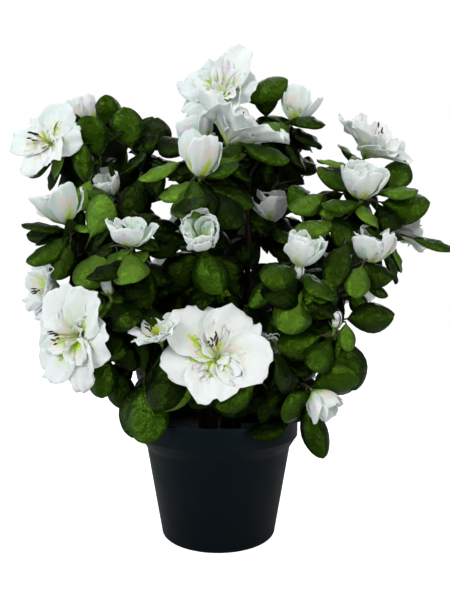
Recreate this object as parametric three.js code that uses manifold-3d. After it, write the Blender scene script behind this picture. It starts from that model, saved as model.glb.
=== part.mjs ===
// An artificial azalea in bloom, standing in a plain nursery pot. Millimetres, +Z up, origin at the
// centre of the pot's flat underside, with the side that is usually shown facing -Y.
//
// The pot holds a cast filler, six wired stems stand in it, and boughs fork off them. Each bough ends
// where it enters a mass of foliage. A mass is one closed solid, made of one or more whorls: a ring of
// leaves that spreads round a shoot, with its bloom or bud in the middle.

import * as THREE from "three";
import { mergeVertices } from "three/addons/utils/BufferGeometryUtils.js";
import Module from "manifold-3d";

const wasm = await Module();
wasm.setup();

// Clearance between neighbouring pieces
const GAP = 0.3;

// Pot: a tapering wall, a step out to a plain collar and a rounded lip
const POT = {
  height: 99,
  footRadius: 46.8,
  footRounding: 3,
  shoulderHeight: 73,
  shoulderRadius: 59.4,
  collarHeight: 82,
  collarRadius: 65.7,
  wall: 1.9,
  floor: 2.5,
  lipRounding: 0.9,
  facets: 32,
};

// Filler: a heavy plug cast in the pot, flat on top, a little below the lip
const FILLER_TOP = 84;
const FILLER_FACETS = 20;

// Stems: each rises from its foot on the filler, through its bends, to the whorl at its tip
const STEM_RADIUS = 3.1;
const STEM_TIP_RADIUS = 1.9;
const STEM_FLARE = 1.35;
const UPRIGHT_FOOT = 12;
const FLARE_SHARE = 0.06;
const LIMB_SIDES = 6;
const STEM_STEPS = 9;

const STEMS = {
  stem_left: { foot: [-13, -3], bends: [[-26, -6, 150], [-58, -8, 222]], into: "foliage_left_shoulder" },
  stem_front: { foot: [-4, -13], bends: [[-6, -26, 150], [-9, -37, 215]], into: "foliage_upper_middle" },
  stem_top: { foot: [5, 2], bends: [[19, 0, 160], [25, -4, 250], [20, 6, 318]], into: "foliage_crown_top" },
  stem_right: { foot: [14, -7], bends: [[48, -18, 150], [92, -26, 215]], into: "foliage_right_top" },
  stem_back_left: { foot: [-9, 12], bends: [[-28, 32, 150], [-62, 46, 222]], into: "foliage_back_left_high" },
  stem_back_right: { foot: [9, 13], bends: [[28, 34, 150], [58, 46, 222]], into: "foliage_back_right_high" },
};

// Boughs: each forks off its stem at a height and curves up and out into a mass
const BOUGH_RADIUS = 2.1;
const BOUGH_TIP_RADIUS = 1.5;
const BOUGH_STEPS = 5;
const FORK_REACH = 0.35;
const ENTRY_REACH = 0.4;
const HALVINGS = 30;

const BOUGHS = [
  { name: "bough_left_top", from: "stem_left", height: 232, into: "foliage_left_top" },
  { name: "bough_left_side", from: "stem_left", height: 178, into: "foliage_left_side" },
  { name: "bough_left_front", from: "stem_left", height: 152, into: "foliage_left_front" },
  { name: "bough_left_low", from: "stem_left", height: 116, into: "foliage_left_low" },
  { name: "bough_skirt_left", from: "stem_front", height: 104, into: "foliage_skirt_left" },
  { name: "bough_front", from: "stem_front", height: 122, into: "foliage_front" },
  { name: "bough_top_right", from: "stem_top", height: 284, into: "foliage_top_right" },
  { name: "bough_back_top", from: "stem_top", height: 270, into: "foliage_back_top" },
  { name: "bough_centre_right", from: "stem_right", height: 146, into: "foliage_centre_right" },
  { name: "bough_right_front", from: "stem_right", height: 176, into: "foliage_right_front" },
  { name: "bough_right_side", from: "stem_right", height: 196, into: "foliage_right_side" },
  { name: "bough_right_low", from: "stem_right", height: 126, into: "foliage_right_low" },
  { name: "bough_skirt_right", from: "stem_right", height: 104, into: "foliage_skirt_right" },
  { name: "bough_back_left", from: "stem_back_left", height: 160, into: "foliage_back_left" },
  { name: "bough_back_left_mid", from: "stem_back_left", height: 140, into: "foliage_back_left_mid" },
  { name: "bough_back_middle", from: "stem_back_left", height: 182, into: "foliage_back_middle" },
  { name: "bough_back_left_low", from: "stem_back_left", height: 106, into: "foliage_back_left_low" },
  { name: "bough_back_right", from: "stem_back_right", height: 170, into: "foliage_back_right" },
  { name: "bough_back_right_mid", from: "stem_back_right", height: 142, into: "foliage_back_right_mid" },
  { name: "bough_back_right_low", from: "stem_back_right", height: 106, into: "foliage_back_right_low" },
];

// Whorls: where the leaves join the shoot, where the shoot points (azimuth from +X towards +Y, and
// elevation, in degrees), how far the leaves reach, and what stands in the middle
const WHORL_HEIGHT = { open: 26, cup: 34, bud: 26, leaf: 20 };
const WHORL_DEPTH = 0.52;
const LOBES = 5;
const LOBE_LENGTH = 0.14;
const LOBE_JITTER = 0.09;
const WHORL_RINGS = 5;
const FIRST_SEED = 17;
const SEED_STEP = 101;

const MASSES = {
  foliage_crown_top: [{ at: [14, 24, 369], aim: [110, 65], reach: 44, bloom: "open" }],
  foliage_crown_front: [
    { at: [14, -24, 322], aim: [-60, 60], reach: 42, bloom: "open" },
    { at: [-28, -8, 322], aim: [150, 75], reach: 32, bloom: "cup" },
  ],
  foliage_top_right: [{ at: [60, 4, 340], aim: [20, 60], reach: 38, bloom: "cup" }],
  foliage_upper_middle: [{ at: [-12, -54, 284], aim: [-110, 60], reach: 40, bloom: "cup" }],
  foliage_left_top: [
    { at: [-135, 2, 316], aim: [-140, 25], reach: 44, bloom: "open" },
    { at: [-104, 20, 338], aim: [100, 70], reach: 34, bloom: "cup" },
  ],
  foliage_left_shoulder: [
    { at: [-62, 4, 328], aim: [-100, 60], reach: 42, bloom: "leaf" },
    { at: [-82, -4, 286], aim: [-120, 40], reach: 36, bloom: "cup" },
  ],
  foliage_left_side: [
    { at: [-122, -16, 262], aim: [-165, 40], reach: 38, bloom: "cup" },
    { at: [-124, -8, 230], aim: [180, 10], reach: 36, bloom: "leaf" },
    { at: [-124, -4, 198], aim: [-170, 15], reach: 36, bloom: "cup" },
  ],
  foliage_left_front: [
    { at: [-64, -62, 230], aim: [-80, 70], reach: 38, bloom: "cup" },
    { at: [-86, -58, 206], aim: [-110, 45], reach: 40, bloom: "bud" },
  ],
  foliage_left_low: [{ at: [-95, -58, 164], aim: [-135, 5], reach: 46, bloom: "open" }],
  foliage_skirt_left: [
    { at: [-48, -40, 162], aim: [-90, 70], reach: 34, bloom: "cup" },
    { at: [-54, -56, 122], aim: [-120, -20], reach: 42, bloom: "leaf" },
  ],
  foliage_front: [{ at: [2, -68, 155], aim: [-90, 10], reach: 48, bloom: "open" }],
  foliage_centre: [{ at: [-9, -62, 233], aim: [-90, 50], reach: 38, bloom: "cup" }],
  foliage_inner_right: [{ at: [40, 6, 268], aim: [-80, 75], reach: 36, bloom: "cup" }],
  foliage_right_top: [{ at: [120, -8, 307], aim: [60, 75], reach: 38, bloom: "open" }],
  foliage_right_upper: [{ at: [111, -40, 272], aim: [-90, 55], reach: 40, bloom: "cup" }],
  foliage_right_side: [{ at: [150, 6, 252], aim: [30, 65], reach: 40, bloom: "open" }],
  foliage_right_front: [{ at: [116, -42, 224], aim: [-80, 80], reach: 38, bloom: "cup" }],
  foliage_centre_right: [{ at: [68, -56, 220], aim: [-60, 70], reach: 37, bloom: "cup" }],
  foliage_right_low: [
    { at: [87, -66, 174], aim: [-80, 35], reach: 42, bloom: "bud" },
    { at: [46, -40, 178], aim: [-100, 30], reach: 34, bloom: "cup" },
  ],
  foliage_skirt_right: [
    { at: [62, -62, 118], aim: [-60, -30], reach: 42, bloom: "cup" },
    { at: [38, -54, 124], aim: [-90, -20], reach: 30, bloom: "leaf" },
  ],
  foliage_back_top: [
    { at: [-2, 72, 340], aim: [100, 55], reach: 42, bloom: "open" },
    { at: [48, 68, 326], aim: [60, 50], reach: 36, bloom: "cup" },
  ],
  foliage_back_left_high: [{ at: [-97, 70, 290], aim: [140, 45], reach: 42, bloom: "open" }],
  foliage_back_right_high: [{ at: [86, 72, 264], aim: [50, 50], reach: 40, bloom: "cup" }],
  foliage_back_middle: [{ at: [-8, 112, 270], aim: [95, 35], reach: 46, bloom: "open" }],
  foliage_back_left: [{ at: [-112, 74, 226], aim: [145, 20], reach: 42, bloom: "cup" }],
  foliage_back_right: [{ at: [114, 78, 216], aim: [35, 25], reach: 42, bloom: "open" }],
  foliage_back_left_mid: [{ at: [-48, 120, 204], aim: [115, 15], reach: 44, bloom: "open" }],
  foliage_back_right_mid: [{ at: [56, 118, 200], aim: [70, 20], reach: 42, bloom: "cup" }],
  foliage_back_left_low: [{ at: [-72, 84, 148], aim: [135, 0], reach: 42, bloom: "cup" }],
  foliage_back_right_low: [{ at: [66, 90, 146], aim: [55, 0], reach: 42, bloom: "open" }],
};

const COLOURS = {
  pot: new THREE.MeshStandardMaterial({ color: 0x24272a, roughness: 0.5, metalness: 0 }),
  filler: new THREE.MeshStandardMaterial({ color: 0x15120f, roughness: 0.95, metalness: 0 }),
  bark: new THREE.MeshStandardMaterial({ color: 0x4a2420, roughness: 0.6, metalness: 0 }),
  foliage: new THREE.MeshStandardMaterial({ color: 0x2f5a24, roughness: 0.6, metalness: 0 }),
};

// A seeded generator of numbers from 0 to 1
function seeded(seed) {
  let state = seed;
  return () => {
    state = (state * 1664525 + 1013904223) % 4294967296;
    return state / 4294967296;
  };
}

// The closed solid of a three.js geometry
function solidOf(geometry) {
  geometry.deleteAttribute("normal");
  geometry.deleteAttribute("uv");
  const merged = mergeVertices(geometry, 1e-3);
  const mesh = new wasm.Mesh({
    numProp: 3,
    vertProperties: merged.attributes.position.array,
    triVerts: new Uint32Array(merged.index.array),
  });
  return new wasm.Manifold(mesh);
}

// The three.js geometry of a solid
function geometryOf(solid) {
  const mesh = solid.getMesh();
  const geometry = new THREE.BufferGeometry();
  geometry.setAttribute("position", new THREE.BufferAttribute(mesh.vertProperties, 3));
  geometry.setIndex(new THREE.BufferAttribute(mesh.triVerts, 1));
  geometry.computeVertexNormals();
  return geometry;
}

// The largest of the bodies that a cut leaves
function largestBody(solid) {
  return solid.decompose().reduce((a, b) => (a.volume() > b.volume() ? a : b));
}

// ---- Pot and filler

// A solid of revolution about +Z from an outline of [radius, height] points
function turned(outline, facets) {
  const points = outline.map(([radius, height]) => new THREE.Vector2(radius, height));
  return new THREE.LatheGeometry(points, facets).rotateX(Math.PI / 2);
}

// The inner radius of the pot's wall at a height
function innerRadius(height) {
  const rise = (height - POT.footRounding) / (POT.shoulderHeight - POT.footRounding);
  if (height >= POT.collarHeight) {
    return POT.collarRadius - POT.wall;
  }
  return POT.footRadius + rise * (POT.shoulderRadius - POT.footRadius) - POT.wall;
}

function potGeometry() {
  const lip = POT.lipRounding;
  const corner = POT.footRounding;
  return turned(
    [
      [0, 0],
      [POT.footRadius - corner, 0],
      [POT.footRadius - 0.3 * corner, 0.3 * corner],
      [POT.footRadius, corner],
      [POT.shoulderRadius, POT.shoulderHeight],
      [POT.collarRadius, POT.collarHeight],
      [POT.collarRadius, POT.height - lip],
      [POT.collarRadius - lip, POT.height],
      [POT.collarRadius - POT.wall, POT.height - lip],
      [POT.collarRadius - POT.wall, POT.collarHeight],
      [innerRadius(POT.shoulderHeight), POT.shoulderHeight],
      [innerRadius(corner), corner],
      [0, POT.floor],
    ],
    POT.facets,
  );
}

// What the pot and the room inside it take up, with clearance, which foliage stays out of
function potRoom() {
  return turned(
    [
      [0, 0],
      [POT.footRadius + GAP, 0],
      [POT.shoulderRadius + GAP, POT.shoulderHeight],
      [POT.collarRadius + GAP, POT.collarHeight - GAP],
      [POT.collarRadius + GAP, POT.height + GAP],
      [0, POT.height + GAP],
    ],
    POT.facets,
  );
}

function fillerGeometry() {
  const low = POT.footRounding + GAP;
  return turned(
    [
      [0, POT.floor + GAP],
      [innerRadius(low) - 2 * GAP, low],
      [innerRadius(POT.shoulderHeight) - 2 * GAP, POT.shoulderHeight],
      [innerRadius(POT.collarHeight) - 2 * GAP, POT.collarHeight],
      [innerRadius(POT.collarHeight) - 2 * GAP, FILLER_TOP],
      [0, FILLER_TOP],
    ],
    FILLER_FACETS,
  );
}

// ---- Whorls and masses

// The unit vector that an azimuth and an elevation in degrees point along
function direction([azimuth, elevation]) {
  const turn = THREE.MathUtils.degToRad(azimuth);
  const rise = THREE.MathUtils.degToRad(elevation);
  return new THREE.Vector3(
    Math.cos(rise) * Math.cos(turn),
    Math.cos(rise) * Math.sin(turn),
    Math.sin(rise),
  );
}

// A whorl's solid: a dome over the bloom and a shallower bowl below, with a lobe for each leaf
function whorlSolid(whorl, grow) {
  const random = seeded(whorl.seed);
  const spin = random() * Math.PI;
  const lengths = [];
  for (let i = 0; i < 2 * LOBES; i += 1) {
    const lobe = i % 2 ? LOBE_LENGTH : -LOBE_LENGTH;
    lengths.push(1 + lobe + (2 * random() - 1) * LOBE_JITTER);
  }
  const ball = new THREE.SphereGeometry(1, 2 * LOBES, WHORL_RINGS).rotateX(Math.PI / 2);
  const places = ball.attributes.position;
  const point = new THREE.Vector3();
  for (let i = 0; i < places.count; i += 1) {
    point.fromBufferAttribute(places, i);
    const around = Math.atan2(point.y, point.x) / (Math.PI / LOBES);
    const side = (Math.round(around) + 2 * LOBES) % (2 * LOBES);
    const reach = whorl.reach * lengths[side];
    const height = point.z > 0 ? WHORL_HEIGHT[whorl.bloom] : whorl.reach * WHORL_DEPTH;
    const across = Math.hypot(point.x, point.y) / reach;
    const along = point.z / height;
    point.setLength(1 / Math.hypot(across, along) + grow);
    places.setXYZ(i, point.x, point.y, point.z);
  }
  const upright = new THREE.Vector3(0, 0, 1);
  const turn = new THREE.Quaternion().setFromUnitVectors(upright, direction(whorl.aim));
  ball.rotateZ(spin).applyQuaternion(turn).translate(...whorl.at);
  return solidOf(ball);
}

// Every whorl with its mass's name and a seed of its own
const WHORLS = Object.entries(MASSES).flatMap(([mass, whorls]) =>
  whorls.map((whorl) => ({ ...whorl, mass })),
);
WHORLS.forEach((whorl, i) => {
  whorl.seed = FIRST_SEED + SEED_STEP * i;
});

// Cuts a whorl back to the planes that part it from the whorls of the other masses
function parted(solid, whorl, grow) {
  const centre = new THREE.Vector3(...whorl.at);
  let kept = solid;
  for (const other of WHORLS.filter((w) => w.mass !== whorl.mass)) {
    const inward = centre.clone().sub(new THREE.Vector3(...other.at));
    const distance = inward.length();
    inward.normalize();
    const share = (distance ** 2 + whorl.reach ** 2 - other.reach ** 2) / (2 * distance);
    const edge = centre.dot(inward) - share + GAP / 2 - grow;
    kept = kept.trimByPlane(inward.toArray(), edge);
  }
  return kept;
}

// A mass: its whorls, each parted from its neighbours, joined
function massSolid(mass, grow = 0) {
  return WHORLS.filter((whorl) => whorl.mass === mass)
    .map((whorl) => parted(whorlSolid(whorl, grow), whorl, grow))
    .reduce((a, b) => a.add(b));
}

// ---- Limbs

// A tapering limb along a curve, with a flared foot if it has one
function limbSolid({ curve, radius, tipRadius, flare, steps }, grow) {
  const rod = new THREE.CylinderGeometry(1, 1, 1, LIMB_SIDES, steps);
  const frames = curve.computeFrenetFrames(steps, false);
  const places = rod.attributes.position;
  const point = new THREE.Vector3();
  for (let i = 0; i < places.count; i += 1) {
    point.fromBufferAttribute(places, i);
    const step = Math.round((point.y + 0.5) * steps);
    const share = step / steps;
    const swell = share < FLARE_SHARE ? flare : 1;
    const thick = (radius + share * (tipRadius - radius)) * swell + grow;
    const past = { [0]: -grow, [steps]: grow }[step] ?? 0;
    const centre = curve.getPointAt(share).addScaledVector(frames.tangents[step], past);
    const across = frames.normals[step].clone().multiplyScalar(point.x * thick);
    const beside = frames.binormals[step].clone().multiplyScalar(-point.z * thick);
    centre.add(across).add(beside);
    places.setXYZ(i, centre.x, centre.y, centre.z);
  }
  return solidOf(rod);
}

const limbs = new Map();

for (const [name, stem] of Object.entries(STEMS)) {
  const tip = WHORLS.find((whorl) => whorl.mass === stem.into);
  const foot = new THREE.Vector3(...stem.foot, FILLER_TOP + GAP);
  const upright = foot.clone().setZ(foot.z + UPRIGHT_FOOT);
  const points = [foot, upright, ...stem.bends.map((bend) => new THREE.Vector3(...bend))];
  points.push(new THREE.Vector3(...tip.at));
  limbs.set(name, {
    curve: new THREE.CatmullRomCurve3(points),
    into: stem.into,
    radius: STEM_RADIUS,
    tipRadius: STEM_TIP_RADIUS,
    flare: STEM_FLARE,
    steps: STEM_STEPS,
  });
}

// Where a curve that rises all the way passes a height, and which way it runs there
function atHeight(curve, height) {
  let low = 0;
  let high = 1;
  for (let i = 0; i < HALVINGS; i += 1) {
    const middle = (low + high) / 2;
    if (curve.getPointAt(middle).z < height) {
      low = middle;
    } else {
      high = middle;
    }
  }
  return { place: curve.getPointAt(low), heading: curve.getTangentAt(low) };
}

for (const bough of BOUGHS) {
  const fork = atHeight(limbs.get(bough.from).curve, bough.height);
  const whorl = WHORLS.find((w) => w.mass === bough.into);
  const end = new THREE.Vector3(...whorl.at);
  const span = fork.place.distanceTo(end);
  const leaving = fork.place.clone().addScaledVector(fork.heading, FORK_REACH * span);
  const entering = end.clone().addScaledVector(direction(whorl.aim), -ENTRY_REACH * span);
  limbs.set(bough.name, {
    curve: new THREE.CubicBezierCurve3(fork.place, leaving, entering, end),
    from: bough.from,
    into: bough.into,
    radius: BOUGH_RADIUS,
    tipRadius: BOUGH_TIP_RADIUS,
    flare: 1,
    steps: BOUGH_STEPS,
  });
}

// ---- Assembly

const azalea = new THREE.Group();
azalea.name = "azalea_in_pot";

function place(name, geometry, material) {
  const mesh = new THREE.Mesh(geometry, material.clone());
  mesh.name = name;
  azalea.add(mesh);
}

place("pot", potGeometry(), COLOURS.pot);
place("filler", fillerGeometry(), COLOURS.filler);

// A limb stops at the mass that it enters, and a bough at the stem that it leaves
for (const [name, limb] of limbs) {
  let solid = limbSolid(limb, 0).subtract(massSolid(limb.into, GAP));
  if (limb.from) {
    solid = solid.subtract(limbSolid(limbs.get(limb.from), GAP));
  }
  place(name, geometryOf(largestBody(solid)), COLOURS.bark);
}

// A mass stays out of the pot and opens round each limb that runs on through it
const pot = solidOf(potRoom());
for (const mass of Object.keys(MASSES)) {
  let solid = massSolid(mass).subtract(pot);
  for (const limb of limbs.values()) {
    if (limb.into !== mass) {
      solid = solid.subtract(limbSolid(limb, GAP));
    }
  }
  place(mass, geometryOf(largestBody(solid)), COLOURS.foliage);
}

export default azalea;
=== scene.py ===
"""Makes an artificial azalea in bloom, in its nursery pot, round the frame of its CAD model.

Metres, +Z up, with the shown side towards -Y. The stems and boughs follow the CAD limbs. Twigs fork off
them by a seeded rule, one to each shoot of a foliage mass, and each shoot carries its whorls of leaves
and its bloom, cup or bud. On the shown side more leaves are laid one by one, each on a stalk of its own.
What repeats is gathered into one mesh for each kind.
"""

import math
from collections import namedtuple
from functools import lru_cache

import bpy
import numpy as np
from bpy.props import FloatProperty, FloatVectorProperty, IntProperty, PointerProperty
from bpy.types import Operator, Panel, PropertyGroup
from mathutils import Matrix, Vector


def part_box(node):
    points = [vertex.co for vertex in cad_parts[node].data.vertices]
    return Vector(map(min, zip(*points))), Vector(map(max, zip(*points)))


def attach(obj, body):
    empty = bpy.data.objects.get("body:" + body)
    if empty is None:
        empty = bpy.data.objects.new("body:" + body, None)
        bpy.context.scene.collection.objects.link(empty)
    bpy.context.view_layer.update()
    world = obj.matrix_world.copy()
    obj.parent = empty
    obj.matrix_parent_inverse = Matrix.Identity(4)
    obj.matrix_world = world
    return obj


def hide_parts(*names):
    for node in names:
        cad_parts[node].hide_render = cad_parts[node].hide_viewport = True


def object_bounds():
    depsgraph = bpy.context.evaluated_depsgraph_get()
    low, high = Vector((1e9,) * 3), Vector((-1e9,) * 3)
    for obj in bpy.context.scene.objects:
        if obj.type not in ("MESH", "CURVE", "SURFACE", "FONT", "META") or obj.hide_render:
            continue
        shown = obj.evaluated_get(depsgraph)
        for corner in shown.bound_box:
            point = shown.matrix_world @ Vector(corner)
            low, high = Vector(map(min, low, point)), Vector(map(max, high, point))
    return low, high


bl_info = {
    "name": "Potted Azalea",
    "version": (1, 0, 0),
    "blender": (4, 5, 0),
    "location": "3D View > Sidebar > Azalea",
    "description": "Makes an artificial azalea in bloom, with its pot, round a CAD frame",
    "category": "Object",
}

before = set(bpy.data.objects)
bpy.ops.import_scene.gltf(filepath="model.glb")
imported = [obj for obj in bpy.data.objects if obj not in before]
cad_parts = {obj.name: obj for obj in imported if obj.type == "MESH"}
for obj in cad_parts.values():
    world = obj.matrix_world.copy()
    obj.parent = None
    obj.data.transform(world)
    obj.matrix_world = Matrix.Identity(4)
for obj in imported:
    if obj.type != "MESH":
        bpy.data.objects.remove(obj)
CAD_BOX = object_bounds()

MM = 0.001
UP = np.array([0.0, 0.0, 1.0])
EVEN = (1, 1, 1)
NEARLY_UPRIGHT = 1e-3

# Numbers that keep the random draws of each kind of piece apart
WHORL_DRAWS, PETAL_DRAWS, SEPAL_DRAWS, STAMEN_DRAWS = 1, 2, 3, 4
LIMB_DRAWS, TWIG_DRAWS, LAID_LEAF_DRAWS = 100, 200, 300

POT_NODE = "pot"
FILLER_NODE = "filler"
STEM_NODES = sorted(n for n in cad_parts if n.startswith("stem_"))
BOUGH_NODES = sorted(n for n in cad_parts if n.startswith("bough_"))
MASS_PREFIX = "foliage_"

# ---- Shoots: the mass each stands in, its place as a share of the mass's box, where it points (azimuth
# from +X towards +Y, elevation), its bloom with its size and turn, and how many leaves ring it

Shoot = namedtuple("Shoot", "mass at aim bloom size turn leaves")

SHOOTS = [
    Shoot("crown_top", (0.38, 0.36, 0.42), (-106, 24), "full", 0.92, 50, 0),
    Shoot("crown_front", (0.54, 0.42, 0.33), (-30, 54), "half", 1.26, 20, 5),
    Shoot("crown_front", (0.32, 0.70, 0.42), (130, 68), "cup", 1.05, 30, 4),
    Shoot("top_right", (0.48, 0.46, 0.48), (-20, 72), "cup", 1.05, 10, 5),
    Shoot("upper_middle", (0.56, 0.53, 0.40), (-80, 76), "egg", 0.96, 50, 4),
    Shoot("left_top", (0.345, 0.46, 0.45), (-112, 18), "open", 0.81, 2, 5),
    Shoot("left_top", (0.62, 0.62, 0.68), (150, 65), "cup", 0.9, 0, 4),
    Shoot("left_shoulder", (0.60, 0.57, 0.66), (-100, 60), "leaf", 1.0, 0, 4),
    Shoot("left_shoulder", (0.26, 0.61, 0.23), (-120, 50), "cup", 0.7, 0, 4),
    Shoot("left_side", (0.58, 0.43, 0.655), (-140, 68), "bowl", 1.07, 0, 3),
    Shoot("left_side", (0.56, 0.52, 0.46), (180, 10), "leaf", 1.0, 0, 3),
    Shoot("left_side", (0.46, 0.55, 0.24), (-148, 10), "half", 0.92, 30, 4),
    Shoot("left_front", (0.71, 0.47, 0.57), (-85, 64), "bowl", 0.76, 0, 4),
    Shoot("left_front", (0.54, 0.53, 0.08), (-110, 60), "bud", 1.0, 0, 4),
    Shoot("left_low", (0.43, 0.60, 0.56), (-121, 2), "open", 1.0, -12, 4),
    Shoot("skirt_left", (0.71, 0.14, 0.69), (-118, 58), "half", 0.62, 10, 2),
    Shoot("skirt_left", (0.50, 0.50, 0.45), (-120, -20), "leaf", 1.0, 0, 4),
    Shoot("front", (0.46, 0.44, 0.45), (-92, 31), "wide", 1.0, -91, 4),
    Shoot("centre", (0.40, 0.56, 0.51), (-95, 30), "cup", 0.94, 15, 3),
    Shoot("inner_right", (0.48, 0.53, 0.17), (-80, 70), "cup", 1.0, 0, 3),
    Shoot("right_top", (0.52, 0.49, 0.46), (-48, 52), "half", 1.1, 0, 4),
    Shoot("right_upper", (0.50, 0.58, 0.38), (-90, 62), "cup", 1.05, 20, 4),
    Shoot("right_side", (0.37, 0.38, 0.33), (-4, 32), "half", 0.86, 0, 3),
    Shoot("right_front", (0.45, 0.57, 0.37), (-100, 66), "cup", 1.0, 60, 1),
    Shoot("centre_right", (0.40, 0.55, 0.32), (-70, 66), "cup", 0.93, 50, 4),
    Shoot("centre_right", (0.36, 0.65, 0.06), (-80, 60), "bud", 1.0, 0, 3),
    Shoot("right_low", (0.62, 0.42, 0.43), (-80, 60), "bud", 0.8, 0, 3),
    Shoot("right_low", (0.25, 0.68, 0.39), (-100, -30), "cup", 0.6, 0, 4),
    Shoot("skirt_right", (0.60, 0.50, 0.69), (-38, -42), "cup", 0.80, 30, 4),
    Shoot("skirt_right", (0.26, 0.64, 0.66), (-90, -20), "leaf", 1.0, 0, 4),
    Shoot("inner_right", (0.50, 0.60, 0.70), (-90, 60), "leaf", 1.0, 0, 4),
    Shoot("inner_right", (0.35, 0.85, 0.56), (180, 30), "leaf", 1.0, 0, 4),
    Shoot("centre", (0.60, 0.90, 0.12), (-60, 50), "leaf", 1.0, 0, 4),
    Shoot("centre", (0.10, 0.90, 0.20), (-120, 60), "leaf", 1.0, 0, 4),
    Shoot("centre_right", (0.30, 0.90, 0.10), (-100, 30), "leaf", 1.0, 0, 4),
    Shoot("skirt_left", (0.95, 0.80, 0.75), (-90, 40), "leaf", 1.0, 0, 4),
    Shoot("right_low", (0.20, 0.85, 0.20), (-120, 0), "leaf", 1.0, 0, 4),
    Shoot("top_right", (0.35, 0.60, 0.10), (-90, 20), "leaf", 1.0, 0, 5),
    Shoot("back_middle", (0.30, 0.02, 0.60), (-100, 30), "leaf", 1.0, 0, 5),
    Shoot("back_middle", (0.80, 0.00, 0.30), (-70, 20), "leaf", 1.0, 0, 5),
    Shoot("back_left", (0.80, 0.20, 0.40), (-90, 20), "leaf", 1.0, 0, 5),
    Shoot("back_right", (0.20, 0.20, 0.40), (-90, 20), "leaf", 1.0, 0, 5),
    Shoot("left_low", (0.60, 0.95, 0.75), (150, 20), "leaf", 1.0, 0, 4),
    Shoot("back_left", (0.50, 0.05, 0.10), (180, 10), "leaf", 1.0, 0, 4),
    Shoot("right_low", (0.60, 0.95, 0.60), (20, 10), "leaf", 1.0, 0, 4),
    Shoot("back_right", (0.30, 0.05, 0.10), (0, 10), "leaf", 1.0, 0, 4),
    Shoot("back_top", (0.33, 0.46, 0.59), (100, 55), "open", 0.95, 0, 6),
    Shoot("back_top", (0.72, 0.41, 0.39), (60, 50), "cup", 1.0, 0, 5),
    Shoot("back_left_high", (0.54, 0.52, 0.45), (140, 45), "open", 0.95, 0, 6),
    Shoot("back_right_high", (0.47, 0.50, 0.45), (50, 50), "cup", 1.0, 0, 6),
    Shoot("back_middle", (0.48, 0.50, 0.47), (95, 35), "open", 1.0, 0, 6),
    Shoot("back_left", (0.56, 0.44, 0.53), (145, 20), "cup", 1.0, 0, 6),
    Shoot("back_right", (0.50, 0.52, 0.49), (35, 25), "open", 0.95, 0, 6),
    Shoot("back_left_mid", (0.49, 0.52, 0.44), (115, 15), "open", 0.95, 0, 6),
    Shoot("back_right_mid", (0.50, 0.45, 0.47), (70, 20), "cup", 1.0, 0, 6),
    Shoot("back_left_low", (0.54, 0.49, 0.45), (135, 0), "cup", 1.0, 0, 6),
    Shoot("back_right_low", (0.46, 0.51, 0.49), (55, 0), "open", 0.95, 0, 6),
]

# The leaf's tints: the middle green, two copies darkened to paint shade, two lightened to paint light, and
# the paler underside
LEAF_TINTS = ("leaf_heavy_shade", "leaf_half_shade", "leaf_mid", "leaf_soft_lit", "leaf_well_lit", "leaf_underside")
HEAVY_SHADE, HALF_SHADE, MID, SOFT_LIT, WELL_LIT, UNDERSIDE = range(len(LEAF_TINTS))

# ---- Leaves laid one by one on the shown side: the mass each stands in, its foot as a share of the
# mass's box, where it points and where its upper face looks (azimuth, elevation), its length and width
# in millimetres, its green (the middle green, a copy darkened as painted shade, or one lightened as
# painted light), and how far it curls in degrees

Leaf = namedtuple("Leaf", "mass at heading facing length width tint curl", defaults=(35,))

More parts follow.
